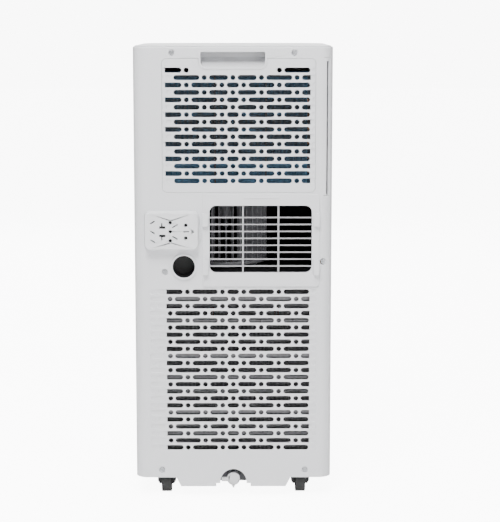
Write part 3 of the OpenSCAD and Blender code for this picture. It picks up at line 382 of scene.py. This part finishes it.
def apply_modifier(obj, name, kind, **settings):
    pick(obj)
    modifier = obj.modifiers.new(name, kind)
    for key, value in settings.items():
        setattr(modifier, key, value)
    bpy.ops.object.modifier_apply(modifier=name)


def smooth(obj, degrees=35.0):
    pick(obj)
    bpy.ops.object.shade_smooth_by_angle(angle=math.radians(degrees), keep_sharp_edges=False)


def finish_piece(obj, name, body, slot_name, material, *replaced):
    """Names a finished piece, gives it its finish and lets it ride on its body."""
    obj.name = name
    obj.data.name = name
    obj.data.materials.clear()
    obj.data.materials.append(material)
    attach(obj, body)
    if replaced:
        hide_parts(*replaced)
    return obj


def join(parts):
    """Joins meshes into the first one."""
    pick(*parts)
    if len(parts) > 1:
        bpy.ops.object.join()
    return bpy.context.view_layer.objects.active


def copy_of(node):
    """Working copy of a frame node, with its doubles merged."""
    pick(frame["nodes"][node])
    bpy.ops.object.duplicate()
    made = bpy.context.view_layer.objects.active
    made.parent = None
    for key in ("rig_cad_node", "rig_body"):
        if key in made:
            del made[key]
    pick(made)
    bpy.ops.object.mode_set(mode="EDIT")
    bpy.ops.mesh.select_all(action="SELECT")
    bpy.ops.mesh.remove_doubles(threshold=0.000002)
    bpy.ops.mesh.tris_convert_to_quads(
        face_threshold=math.radians(0.5), shape_threshold=math.radians(40))
    bpy.ops.object.mode_set(mode="OBJECT")
    return made


def ease_edges(obj, width, segments=2, angle=40.0):
    """Rounds the sharp edges, as a mould leaves them."""
    apply_modifier(
        obj, "ease", "BEVEL", width=width, segments=segments, limit_method="ANGLE",
        angle_limit=math.radians(angle), use_clamp_overlap=False, harden_normals=False,
        miter_outer="MITER_ARC")
    smooth(obj)
    apply_modifier(obj, "flats", "WEIGHTED_NORMAL", keep_sharp=True)


def body_of(node):
    for body, members in frame["record"]["behaviour"]["bodies"].items():
        if node in members:
            return body
    raise RuntimeError(f"{node} is on no body")


def slot_of(node):
    for row in frame["record"]["subparts"]:
        if row["node"] == node:
            return row["material_slot"]
    raise RuntimeError(f"{node} has no slot")


def eased_node(node, width, material, segments=2):
    """A frame node remade with eased edges and its own finish."""
    made = copy_of(node)
    ease_edges(made, width, segments)
    return finish_piece(made, node + "_shell", body_of(node), slot_of(node), material, node)


def add_cube(low, high):
    low, high = Vector(low), Vector(high)
    bpy.ops.mesh.primitive_cube_add(size=1, location=(low + high) / 2)
    made = bpy.context.object
    made.scale = high - low
    return settle(made)


def add_rod(start, end, radius, vertices=24):
    """Closed cylinder between two points."""
    start, end = Vector(start), Vector(end)
    along = end - start
    bpy.ops.mesh.primitive_cylinder_add(
        vertices=vertices, radius=radius, depth=along.length, location=(start + end) / 2,
        rotation=along.to_track_quat("Z", "Y").to_euler())
    return settle(bpy.context.object)


def heading(turn):
    """Level direction at an angle, in degrees, from the X axis."""
    return Vector((math.cos(math.radians(turn)), math.sin(math.radians(turn)), 0))


def add_ring(centre, normal, major, minor, around=48, across=12):
    bpy.ops.mesh.primitive_torus_add(
        location=centre, rotation=Vector(normal).to_track_quat("Z", "Y").to_euler(),
        major_radius=major, minor_radius=minor, major_segments=around, minor_segments=across)
    return settle(bpy.context.object)


def object_mode():
    bpy.ops.object.mode_set(mode="OBJECT")


# ------------------------------------------------------------------ sizes and colours


def size_property(name, description, default, low=0.0001, high=0.1):
    return bpy.props.FloatProperty(
        name=name, description=description, default=default, min=low, max=high,
        precision=5, unit="LENGTH")


def colour_property(name, description, default):
    return bpy.props.FloatVectorProperty(
        name=name, description=description, default=default, size=3, min=0, max=1,
        subtype="COLOR")


class CasingLook(bpy.types.PropertyGroup):
    """Look of the moulded casing."""

    edge: size_property("Edge", "Rounding of the moulded edges", 0.4 * MM)
    slot_edge: size_property("Slot edge", "Rounding of the edges of the slots", 0.12 * MM)
    top_edge: size_property("Top edge", "Rounding of the casing's upper edge", 2.1 * MM)
    white: colour_property("White", "Colour of the casing", (0.79, 0.795, 0.815))
    # Painted shade: the pocket colour is a darker copy of the casing white, standing for the shade inside the
    # carry handle's recess.
    pocket: colour_property("Pocket", "Colour inside the carry handle", (0.66, 0.665, 0.68))
    # Painted shade: the guard colour is a darker grey copy of the white plastic, standing for the shade in
    # the exhaust mouth.
    guard: colour_property("Guard", "Colour of the finger guard", (0.42, 0.42, 0.435))
    dark: colour_property("Ducts", "Colour of the hot air duct", (0.006, 0.006, 0.007))


class InnerLook(bpy.types.PropertyGroup):
    """Look of what shows through the grilles."""

    fin_pitch: size_property("Fin pitch", "Distance from one fin to the next", 2.0 * MM)
    fin_thickness: size_property("Fin thickness", "Thickness of a fin", 0.25 * MM)
    net_pitch: size_property("Net pitch", "Distance between threads of the filter net", 1.6 * MM)
    net: colour_property("Net", "Colour of the filter net", (0.05, 0.13, 0.22))
    net_middle: colour_property("Net's middle", "Colour of its middle", (0.05, 0.05, 0.052))
    blue_fin: colour_property("Coated fins", "Colour of the evaporator's fins", (0.12, 0.3, 0.48))
    bare_fin: colour_property("Bare fins", "Colour of the condenser's fins", (0.34, 0.34, 0.355))
    strap: colour_property("Straps", "Colour of the straps over the fins", (0.17, 0.17, 0.175))
    fan: colour_property("Fans", "Colour of the fan wheels", (0.26, 0.26, 0.28))


class ControlLook(bpy.types.PropertyGroup):
    """Look of the control panel."""

    mark: size_property("Mark", "Size of a printed mark", 6.0 * MM)
    stroke: size_property("Stroke", "Width of a printed line", 0.7 * MM)
    panel: colour_property("Panel", "Colour of the panel", (0.012, 0.012, 0.014))
    lit: colour_property("Lit marks", "Colour of the lit marks", (0.55, 0.8, 1.0))


def casing_look():
    return bpy.context.scene.ac_casing


def inner_look():
    return bpy.context.scene.ac_inner


def control_look():
    return bpy.context.scene.ac_controls


FINISHES = {}


def finish_named(name):
    """The finish of that name, made once."""
    if name not in FINISHES:
        FINISHES[name] = make_finish(name)
    return FINISHES[name]


def make_finish(name):
    casing, inner, controls = casing_look(), inner_look(), control_look()
    makers = {
        "shell_white": lambda: moulded(name, tuple(casing.white), 0.36, 2400.0, 0.00003, 0.02),
        # Painted shade: the pocket's finish is the casing plastic darkened for the shade inside the handle
        # recess.
        "pocket_white": lambda: moulded(name, tuple(casing.pocket), 0.42, 2000.0, 0.00004, 0.03),
        # Painted shade: the guard's finish darkens the white guard for the shade in the exhaust mouth.
        "guard_grey": lambda: moulded(name, tuple(casing.guard), 0.4, 1800.0, 0.00003, 0.03),
        "well_plastic": lambda: moulded(name, tuple(casing.white), 0.4, 2000.0, 0.00003, 0.03),
        "white_foam": lambda: moulded(name, (0.6, 0.6, 0.58), 0.8, 700.0, 0.0002, 0.05),
        "outlet_plastic": lambda: moulded(name, (0.6, 0.605, 0.62), 0.4, 2000.0, 0.00003, 0.03),
        "tray_plastic": lambda: moulded(name, (0.1, 0.1, 0.11), 0.5, 1600.0, 0.00005, 0.08),
        "black_plastic": lambda: moulded(name, (0.012, 0.012, 0.013), 0.45, 1500.0, 0.00005, 0.1),
        "duct_black": lambda: moulded(name, tuple(casing.dark), 0.6, 1500.0, 0.00005, 0.1),
        "fan_plastic": lambda: moulded(name, tuple(inner.fan), 0.42, 1500.0, 0.00004, 0.1),
        "button_plastic": lambda: moulded(name, (0.5, 0.51, 0.53), 0.35, 2600.0, 0.00002, 0.03),
        "float_plastic": lambda: moulded(name, (0.6, 0.5, 0.28), 0.75, 500.0, 0.0002, 0.1),
        "bung_rubber": lambda: rubber(name, (0.6, 0.6, 0.61), 0.5),
        "castor_tyre": lambda: rubber(name, (0.012, 0.012, 0.012), 0.6),
        "black_rubber": lambda: rubber(name, (0.014, 0.014, 0.014), 0.75),
        "black_steel": lambda: enamel(name, (0.012, 0.012, 0.013)),
        "motor_steel": lambda: zinc(name, (0.5, 0.51, 0.53)),
        "bright_steel": lambda: zinc(name, (0.56, 0.57, 0.59), 900.0),
        "copper": lambda: copper(name),
        "fin_aluminium": lambda: fin_metal(
            name, tuple(inner.bare_fin), tuple(c * 0.7 for c in inner.bare_fin)),
        "blue_fin": lambda: fin_metal(
            name, tuple(inner.blue_fin), tuple(c * 0.6 for c in inner.blue_fin)),
        "strap": lambda: zinc(name, tuple(inner.strap), 300.0),
        "filter_net": lambda: net_cloth(
            name, tuple(inner.net), tuple(inner.net_middle), inner.net_pitch, 0.566),
        "board_green": lambda: circuit_board(name),
        "panel_gloss": lambda: gloss_black(name, tuple(controls.panel), 0.1),
        "display_gloss": lambda: gloss_black(name, (0.006, 0.006, 0.008), 0.06),
        "lit_mark": lambda: glow(name, tuple(controls.lit), 1.2),
        "mark_dark": lambda: moulded(name, (0.05, 0.05, 0.055), 0.4, 2600.0, 0.00002, 0.05),
    }
    if name not in makers:
        raise RuntimeError(f"no finish is called {name}")
    return makers[name]()


# ------------------------------------------------------------------ pieces


def eased_group(rows):
    """Makes eased copies of frame nodes from (node, edge width, segments) rows."""
    return [
        eased_node(node, width, finish_named(slot_of(node)), segments)
        for node, width, segments in rows
    ]


def round_top(obj, height, radius):
    """Rounds the outer edge of a casing part's top."""
    pick(obj)
    bpy.ops.object.mode_set(mode="EDIT")
    bpy.ops.mesh.select_mode(type="EDGE")
    bpy.ops.mesh.select_all(action="DESELECT")
    mesh = bmesh.from_edit_mesh(obj.data)
    for edge in mesh.edges:
        if len(edge.link_faces) != 2 or min(v.co.z for v in edge.verts) < height - 0.05 * MM:
            continue
        slopes = sorted(edge.link_faces, key=lambda face: face.normal.z)
        side, top = slopes
        middle = (edge.verts[0].co + edge.verts[1].co) / 2
        outward = side.normal.x * middle.x + side.normal.y * middle.y
        seam = abs(side.normal.y) > 0.99 and abs(middle.y) < 0.1
        edge.select_set(top.normal.z > 0.9 and abs(side.normal.z) < 0.1 and outward > 0 and not seam)
    bmesh.update_edit_mesh(obj.data)
    bpy.ops.mesh.bevel(offset=radius, segments=5, profile=0.5, affect="EDGES", clamp_overlap=False)
    object_mode()
    return obj


def boolean(obj, operation, cutter):
    """Cuts an object with another one, which is then removed."""
    apply_modifier(obj, "cut", "BOOLEAN", operation=operation, object=cutter, solver="EXACT")
    bpy.data.objects.remove(cutter)
    return obj


class AC_OT_casing(bpy.types.Operator):
    """Rear and front shells and the top cover, with eased edges"""

    bl_idname = "ac.casing"
    bl_label = "Make the casing"

    def execute(self, context):
        look = casing_look()
        for node, width in (("rear_shell", look.slot_edge), ("front_shell", look.edge)):
            shell = round_top(copy_of(node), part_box(node)[1].z, look.top_edge)
            ease_edges(shell, width, 2)
            finish_piece(shell, node + "_shell", body_of(node), slot_of(node),
                         finish_named(slot_of(node)), node)
        eased_group([("top_cover", 0.9 * MM, 3)])
        return {"FINISHED"}


class AC_OT_grilles(bpy.types.Operator):
    """Upper grille, exhaust mouth with its guard, and the carry handle's pocket"""

    bl_idname = "ac.grilles"
    bl_label = "Make the grilles"

    def execute(self, context):
        eased_group([
            ("upper_grille", casing_look().slot_edge, 2),
            ("exhaust_frame", 0.35 * MM, 2),
            ("exhaust_guard", 0.2 * MM, 2),
            ("handle_pocket", 0.6 * MM, 2),
        ])
        return {"FINISHED"}


class AC_OT_cord_storage(bpy.types.Operator):
    """Plate for the plug and the well for the cord, each with a thin black sheet in its hollow as painted
    shade
    """

    bl_idname = "ac.cord_storage"
    bl_label = "Make the cord storage"

    def execute(self, context):
        eased_group([("plug_plate", 0.5 * MM, 2), ("cord_well", 0.8 * MM, 3)])
        dark = finish_named("black_plastic")
        low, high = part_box("cord_well")
        middle = (low + high) / 2
        radius = 16.4 * MM
        mouth = Vector((middle.x, high.y - 1.6 * MM, middle.z))
        floor = Vector((middle.x, low.y + 2.1 * MM, middle.z))
        # Painted shade: a thin black cup just inside the white well, so that its hollow shows dark.
        shade_liner = add_rod(floor, mouth, radius, 64)
        hollow = add_rod(floor + Y_AXIS * 0.6 * MM, mouth + Y_AXIS * MM, radius - 0.5 * MM, 64)
        boolean(shade_liner, "DIFFERENCE", hollow)
        smooth(shade_liner)
        finish_piece(shade_liner, "cord_well_shade_liner", "casing", "black_plastic", dark)
        self.paint_plug_hole_shade(dark)
        return {"FINISHED"}

    def paint_plug_hole_shade(self, dark):
        """Black sheet at the bottom of the plate's holes, as painted shade in them."""
        low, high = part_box("plug_plate")
        # Painted shade: a thin black plate behind the holes of the white plug plate.
        shade_backing = add_cube(
            (low.x + 12 * MM, high.y - 8.95 * MM, low.z + 9 * MM),
            (high.x - 12 * MM, high.y - 8.0 * MM, high.z - 9 * MM))
        finish_piece(shade_backing, "plug_hole_shade_liner", "casing", "black_plastic", dark)


class AC_OT_filter(bpy.types.Operator):
    """Filter cassette: a dark frame and the white cap at the corner"""

    bl_idname = "ac.filter"
    bl_label = "Make the filter"

    def execute(self, context):
        low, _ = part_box("filter_frame")
        parting = low.x + 13.0 * MM
        cap = copy_of("filter_frame")
        cap.name = "filter_cap"
        boolean(cap, "INTERSECT", add_cube((low.x - 1, low.y - 1, low.z - 1), (parting, 1, 1)))
        ease_edges(cap, 0.4 * MM, 2)
        finish_piece(cap, "filter_cap", "filter", "shell_white", finish_named("shell_white"))
        tray = copy_of("filter_frame")
        boolean(tray, "INTERSECT", add_cube((parting, low.y - 1, low.z - 1), (1, 1, 1)))
        ease_edges(tray, 0.4 * MM, 2)
        finish_piece(tray, "filter_tray", "filter", "black_plastic",
                     finish_named("black_plastic"), "filter_frame")
        return {"FINISHED"}


class AC_OT_base(bpy.types.Operator):
    """Base tray, drain spigot and its plug, and the castor sockets"""

    bl_idname = "ac.base"
    bl_label = "Make the base"

    def execute(self, context):
        eased_group([
            ("base_tray", 0.5 * MM, 2),
            ("drain_spigot", 0.25 * MM, 2),
            ("drain_plug", 0.6 * MM, 3),
            ("castor_sockets", 0.4 * MM, 2),
        ])
        return {"FINISHED"}


class AC_OT_castors(bpy.types.Operator):
    """Castor forks and wheels"""

    bl_idname = "ac.castors"
    bl_label = "Make the castors"

    def execute(self, context):
        eased_group([(f"castor_fork_{i}", 0.4 * MM, 2) for i in range(1, 5)])
        eased_group([(f"castor_wheel_{i}", 0.4 * MM, 2) for i in range(1, 5)])
        return {"FINISHED"}


class AC_OT_screws(bpy.types.Operator):
    """Domed screw heads with a cross recess"""

    bl_idname = "ac.screws"
    bl_label = "Make the screws"

    def execute(self, context):
        copy_of("casing_screws")
        bpy.ops.object.mode_set(mode="EDIT")
        bpy.ops.mesh.select_all(action="SELECT")
        bpy.ops.mesh.separate(type="LOOSE")
        object_mode()
        singles = list(bpy.context.selected_objects)
        heads = [self.head(single) for single in singles]
        for single in singles:
            bpy.data.objects.remove(single)
        made = join(heads)
        smooth(made, 40)
        finish_piece(made, "screw_heads", "casing", "bright_steel",
                     finish_named("bright_steel"), "casing_screws")
        return {"FINISHED"}

    def head(self, single):
        corners = [Vector(corner) for corner in single.bound_box]
        low = Vector(min(c[i] for c in corners) for i in range(3))
        high = Vector(max(c[i] for c in corners) for i in range(3))
        middle = (low + high) / 2
        radius = (high.x - low.x) / 2
        top = Vector((middle.x, high.y, middle.z))
        head = add_rod(top - Y_AXIS * 1.5 * MM, top, radius, 40)
        apply_modifier(head, "dome", "BEVEL", width=1.0 * MM, segments=5, limit_method="ANGLE",
                       angle_limit=math.radians(60))
        for turn in (0, 90):
            bpy.ops.mesh.primitive_cube_add(size=1, location=top)
            bar = bpy.context.object
            bar.scale = (0.85 * MM, 2.0 * MM, radius * 1.25)
            bar.rotation_euler = (0, math.radians(turn + 20), 0)
            boolean(head, "DIFFERENCE", settle(bar))
        shank = add_rod(Vector((middle.x, low.y, middle.z)), top - Y_AXIS * 1.6 * MM, 1.45 * MM, 16)
        return join([head, shank])


def row_of_plates(low, high, pitch, thickness):
    """Upright plates from low to high, one after another along X."""
    plate = add_cube(low, (low[0] + thickness, high[1], high[2]))
    count = int((high[0] - low[0]) / pitch)
    apply_modifier(
        plate, "row", "ARRAY", count=count, use_relative_offset=False, use_constant_offset=True,
        constant_offset_displace=(pitch, 0, 0))
    return plate


class AC_OT_coils(bpy.types.Operator):
    """Both heat exchangers: thin fins on rows of tube, with their end plates"""

    bl_idname = "ac.coils"
    bl_label = "Make the heat exchangers"

    def execute(self, context):
        for kind, slot_name in (("condenser", "fin_aluminium"), ("evaporator", "blue_fin")):
            self.coil(kind, slot_name)
        self.straps()
        return {"FINISHED"}

    def coil(self, kind, slot_name):
        look = inner_look()
        low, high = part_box(kind + "_fins")
        fins = row_of_plates(low + X_AXIS * 2 * MM, high - X_AXIS * 2 * MM,
                             look.fin_pitch, look.fin_thickness)
        ends = [
            add_cube((x, low.y, low.z), (x + 1.2 * MM, high.y, high.z))
            for x in (low.x, high.x - 1.2 * MM)]
        coil = join([fins, *ends])
        finish_piece(coil, kind + "_fin_pack", "casing", slot_name,
                     finish_named(slot_name), kind + "_fins")
        rods = []
        count = int((high.z - low.z) / (25 * MM))
        for row in range(count):
            level = low.z + (row + 0.5) * (high.z - low.z) / count
            for depth in (0.3, 0.7):
                place = low.y + depth * (high.y - low.y)
                rods.append(add_rod(
                    (low.x + 0.3 * MM, place, level), (high.x - 0.3 * MM, place, level), 3.4 * MM, 12))
        tubes = join(rods)
        smooth(tubes)
        finish_piece(tubes, kind + "_fin_collars", "casing", slot_name, finish_named(slot_name))

    # Height of each strap's middle above the floor, and the strap's width, in mm.
    STRAPS = ((302.0, 7.0), (267.0, 4.5), (215.5, 7.0), (180.5, 4.5), (129.0, 7.0), (94.0, 4.5))

    def straps(self):
        """Bright straps that hold the condenser behind the lower grille."""
        low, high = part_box("condenser_fins")
        strips = []
        for level, height in self.STRAPS:
            base = level * MM
            strips.append(add_cube(
                (low.x, high.y, base - height / 2 * MM), (high.x, high.y + 0.8 * MM, base + height / 2 * MM)))
        straps = join(strips)
        ease_edges(straps, 0.2 * MM, 1)
        finish_piece(straps, "condenser_straps", "casing", "fin_aluminium", finish_named("strap"))


class AC_OT_fans(bpy.types.Operator):
    """Fan wheels, motor, scrolls and the deck between them"""

    bl_idname = "ac.fans"
    bl_label = "Make the fans"

    def execute(self, context):
        eased_group([
            ("condenser_fan", 0.2 * MM, 1),
            ("evaporator_fan", 0.2 * MM, 1),
            ("lower_scroll", 0.4 * MM, 1),
            ("upper_scroll", 0.4 * MM, 1),
            ("partition_deck", 0.5 * MM, 2),
            ("fan_motor", 0.5 * MM, 2),
        ])
        return {"FINISHED"}


class AC_OT_compressor(bpy.types.Operator):
    """Compressor with its weld bead, and the accumulator"""

    bl_idname = "ac.compressor"
    bl_label = "Make the compressor"

    def execute(self, context):
        eased_group([("compressor", 0.6 * MM, 2), ("accumulator", 0.5 * MM, 2)])
        low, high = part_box("compressor")
        radius = 58 * MM
        middle = Vector((low.x + 62.69 * MM, low.y + 70.97 * MM, low.z + 0.62 * (high.z - low.z)))
        bead = add_ring(middle, Z_AXIS, radius, 1.3 * MM, 72, 10)
        smooth(bead)
        finish_piece(bead, "compressor_weld", "casing", "black_steel", finish_named("black_steel"))
        return {"FINISHED"}


class AC_OT_outlet(bpy.types.Operator):
    """Cool air outlet with its louvre, vanes and link"""

    bl_idname = "ac.outlet"
    bl_label = "Make the cool air outlet"

    def execute(self, context):
        eased_group([
            ("outlet_frame", 0.6 * MM, 2),
            ("louvre", 0.5 * MM, 3),
            *((f"vane_{i}", 0.35 * MM, 2) for i in range(1, 6)),
            ("vane_link", 0.3 * MM, 1),
            ("louvre_motor", 0.4 * MM, 2),
        ])
        return {"FINISHED"}


class AC_OT_controls(bpy.types.Operator):
    """Control panel with its buttons, printed marks and lit figures"""

    bl_idname = "ac.controls"
    bl_label = "Make the controls"

    def execute(self, context):
        names = ("power", "mode", "speed", "up", "down")
        eased_group([
            ("control_panel", 0.3 * MM, 2),
            *((f"button_{name}", 0.5 * MM, 3) for name in names),
        ])
        look = control_look()
        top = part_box("control_panel")[1].z
        for name in names:
            low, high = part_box("button_" + name)
            centre = Vector(((low.x + high.x) / 2, (low.y + high.y) / 2, high.z + 0.02 * MM))
            mark = getattr(self, name)(centre, look.mark / 2, look.stroke)
            finish_piece(mark, f"mark_{name}", f"button_{name}", "panel_gloss",
                         finish_named("mark_dark"))
        self.figures(look, top)
        self.lamps(look, top)
        return {"FINISHED"}

    def bar(self, centre, length, turn, stroke, out=0.0):
        """Flat bar, turned about the centre and moved outwards along its length."""
        bpy.ops.mesh.primitive_cube_add(size=1, location=centre)
        made = bpy.context.object
        made.scale = (length, stroke, 0.06 * MM)
        made.rotation_euler = (0, 0, math.radians(turn))
        made.location = centre + heading(turn) * out
        return settle(made)

    def arc(self, centre, radius, start, end, stroke, steps=14):
        """Row of short bars along an arc."""
        parts = []
        for step in range(steps):
            turn = start + (end - start) * (step + 0.5) / steps
            length = abs(end - start) / steps / 57.3 * radius * 1.15
            place = centre + heading(turn) * radius
            parts.append(self.bar(place, length, turn + 90, stroke))
        return parts

    def power(self, centre, size, stroke):
        return join([*self.arc(centre, size * 0.8, 125, 415, stroke),
                     self.bar(centre + Y_AXIS * size * 0.6, size * 0.9, 90, stroke)])

    def mode(self, centre, size, stroke):
        arms = [self.bar(centre, size * 1.9, turn, stroke) for turn in (30, 90, 150)]
        for turn in range(30, 390, 60):
            tip = centre + heading(turn) * size * 0.62
            arms += [self.bar(tip, size * 0.4, turn + side, stroke * 0.8, size * 0.2) for side in (-45, 45)]
        return join(arms)

    def speed(self, centre, size, stroke):
        parts = self.arc(centre, size * 0.2, 0, 360, stroke, 8)
        for turn in (30, 150, 270):
            hub = centre + heading(turn) * size * 0.6
            parts += self.arc(hub, size * 0.36, turn - 160, turn + 120, stroke, 10)
        return join(parts)

    def up(self, centre, size, stroke):
        return join([self.bar(centre + Y_AXIS * size * 0.35, size * 1.1, turn, stroke, side * size * 0.42)
                     for turn, side in ((45, -1), (-45, 1))])

    def down(self, centre, size, stroke):
        return join([self.bar(centre - Y_AXIS * size * 0.35, size * 1.1, turn, stroke, side * size * 0.42)
                     for turn, side in ((-45, -1), (45, 1))])

    def figures(self, look, top):
        """Two seven-part figures behind the display window."""
        low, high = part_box("display_window")
        middle = (low + high) / 2
        parts = []
        for place, lit in ((-6.5, "abged"), (6.5, "abcdfg")):
            centre = Vector((middle.x + place * MM, middle.y, high.z + 0.03 * MM))
            half, tall = 2.6 * MM, 2.9 * MM
            shape = {
                "a": (0, 2 * tall, 0), "g": (0, 0, 0), "d": (0, -2 * tall, 0),
                "b": (half * 1.15, tall, 90), "c": (half * 1.15, -tall, 90),
                "f": (-half * 1.15, tall, 90), "e": (-half * 1.15, -tall, 90)}
            for key in lit:
                x, y, turn = shape[key]
                parts.append(self.bar(centre + Vector((x, y, 0)), 4.4 * MM, turn, look.stroke))
        made = join(parts)
        finish_piece(made, "display_figures", "casing", "display_gloss", finish_named("lit_mark"))

    def lamps(self, look, top):
        """Small lamps either side of the display."""
        lamps = []
        for place in (-62, -52, -42, 42, 52, 62):
            centre = Vector((place * MM, -79 * MM, top))
            lamps.append(add_rod(centre - Z_AXIS * 0.2 * MM, centre + Z_AXIS * 0.1 * MM, 1.1 * MM, 20))
        made = join(lamps)
        smooth(made)
        finish_piece(made, "panel_lamps", "casing", "display_gloss", finish_named("lit_mark"))


# ------------------------------------------------------------------ stage


class AC_OT_stage(bpy.types.Operator):
    """Floor, lights and camera"""

    bl_idname = "ac.stage"
    bl_label = "Make the stage"

    LIGHTS = (
        ("key", (0.5, 2.1, 3.0), 1.3, 150.0),
        ("fill", (-1.2, 3.2, 0.9), 2.2, 34.0),
        ("overhead", (0.0, 0.6, 3.2), 1.6, 60.0),
        ("front", (0.4, -2.6, 1.8), 2.4, 60.0),
    )

    def execute(self, context):
        bpy.ops.mesh.primitive_plane_add(size=30, location=(0, 0, -0.0004))
        floor = bpy.context.object
        floor.name = "floor"
        floor.data.materials.append(pale_floor("floor"))
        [self.lamp(*light) for light in self.LIGHTS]
        self.camera()
        self.surroundings()
        return {"FINISHED"}

    def lamp(self, name, place, size, power):
        bpy.ops.object.light_add(type="AREA", location=place)
        lamp = bpy.context.object
        lamp.name = name
        lamp.data.size = size
        lamp.data.energy = power
        lamp.rotation_euler = (Vector((0, 0, 0.36)) - Vector(place)).to_track_quat("-Z", "Y").to_euler()
        return lamp

    def surroundings(self):
        """White to the camera and softer as a light."""
        world = bpy.context.scene.world or bpy.data.worlds.new("studio")
        bpy.context.scene.world = world
        world.use_nodes = True
        tree = world.node_tree
        sky = tree.nodes["Background"]
        sky.inputs["Color"].default_value = (1, 1, 1, 1)
        seen = tree.nodes.new("ShaderNodeLightPath")
        level = tree.nodes.new("ShaderNodeMapRange")
        level.inputs["To Min"].default_value = 0.3
        level.inputs["To Max"].default_value = 9.0
        tree.links.new(seen.outputs["Is Camera Ray"], level.inputs["Value"])
        tree.links.new(level.outputs["Result"], sky.inputs["Strength"])

    def camera(self):
        bpy.ops.object.camera_add(location=(-0.01117, 2.546, 0.7109))
        camera = bpy.context.object
        camera.name = "camera"
        down, turn = math.radians(8.3385), math.radians(0.331)
        forward = Vector((
            -math.sin(turn) * math.cos(down), -math.cos(turn) * math.cos(down), -math.sin(down)))
        camera.rotation_euler = forward.to_track_quat("-Z", "Y").to_euler()
        camera.data.lens = 112.76
        camera.data.sensor_width = 36
        bpy.context.scene.camera = camera
        return camera


def pale_floor(name):
    """Near-white floor that glows a little, so that it runs into the background."""
    paint = Paint(name, (0.9, 0.9, 0.9), 0.7)
    dust = paint.noise(40.0, 4.0)
    paint.set("Roughness", 0.65 + 0.1 * dust)
    seen = paint.node("ShaderNodeLightPath", {}, {}, 0)
    as_light, to_camera = 0.1, 9.1
    faint = as_light / to_camera
    paint.set("Emission Color", paint.mix(seen, (faint, faint, faint), (1.0, 1.0, 1.0)))
    paint.set("Emission Strength", to_camera)
    return paint.material


def paint_frame():
    """Gives the frame nodes that are still shown the finish of their slot."""
    for node, obj in frame["nodes"].items():
        if obj.hide_render:
            continue
        obj.data.materials.clear()
        obj.data.materials.append(finish_named(slot_of(node)))
        smooth(obj, 30.0)


# ------------------------------------------------------------------ panel


PIECES = (
    AC_OT_casing,
    AC_OT_grilles,
    AC_OT_cord_storage,
    AC_OT_filter,
    AC_OT_base,
    AC_OT_castors,
    AC_OT_screws,
    AC_OT_coils,
    AC_OT_fans,
    AC_OT_compressor,
    AC_OT_outlet,
    AC_OT_controls,
)
GROUPS = (CasingLook, InnerLook, ControlLook)


class AC_PT_panel(bpy.types.Panel):
    """Buttons and sizes in the 3-D view's sidebar"""

    bl_idname = "AC_PT_panel"
    bl_label = "Air Conditioner"
    bl_space_type = "VIEW_3D"
    bl_region_type = "UI"
    bl_category = "Air Conditioner"

    def draw(self, context):
        for title, settings in (
            ("Casing", casing_look()), ("Inside", inner_look()), ("Controls", control_look())
        ):
            section = self.layout.box()
            section.label(text=title)
            for key in settings.bl_rna.properties.keys():
                if key not in ("rna_type", "name"):
                    section.prop(settings, key)
        for piece in (*PIECES, AC_OT_stage):
            self.layout.operator(piece.bl_idname)


def register():
    for kind in (*GROUPS, *PIECES, AC_OT_stage, AC_PT_panel):
        bpy.utils.register_class(kind)
    bpy.types.Scene.ac_casing = bpy.props.PointerProperty(type=CasingLook)
    bpy.types.Scene.ac_inner = bpy.props.PointerProperty(type=InnerLook)
    bpy.types.Scene.ac_controls = bpy.props.PointerProperty(type=ControlLook)


def unregister():
    del bpy.types.Scene.ac_controls
    del bpy.types.Scene.ac_inner
    del bpy.types.Scene.ac_casing
    for kind in reversed((*GROUPS, *PIECES, AC_OT_stage, AC_PT_panel)):
        bpy.utils.unregister_class(kind)


def main():
    register()
    for piece in PIECES:
        getattr(bpy.ops.ac, piece.bl_idname.split(".")[1])()
    paint_frame()
    bpy.ops.ac.stage()


if __name__ == "__main__":
    main()
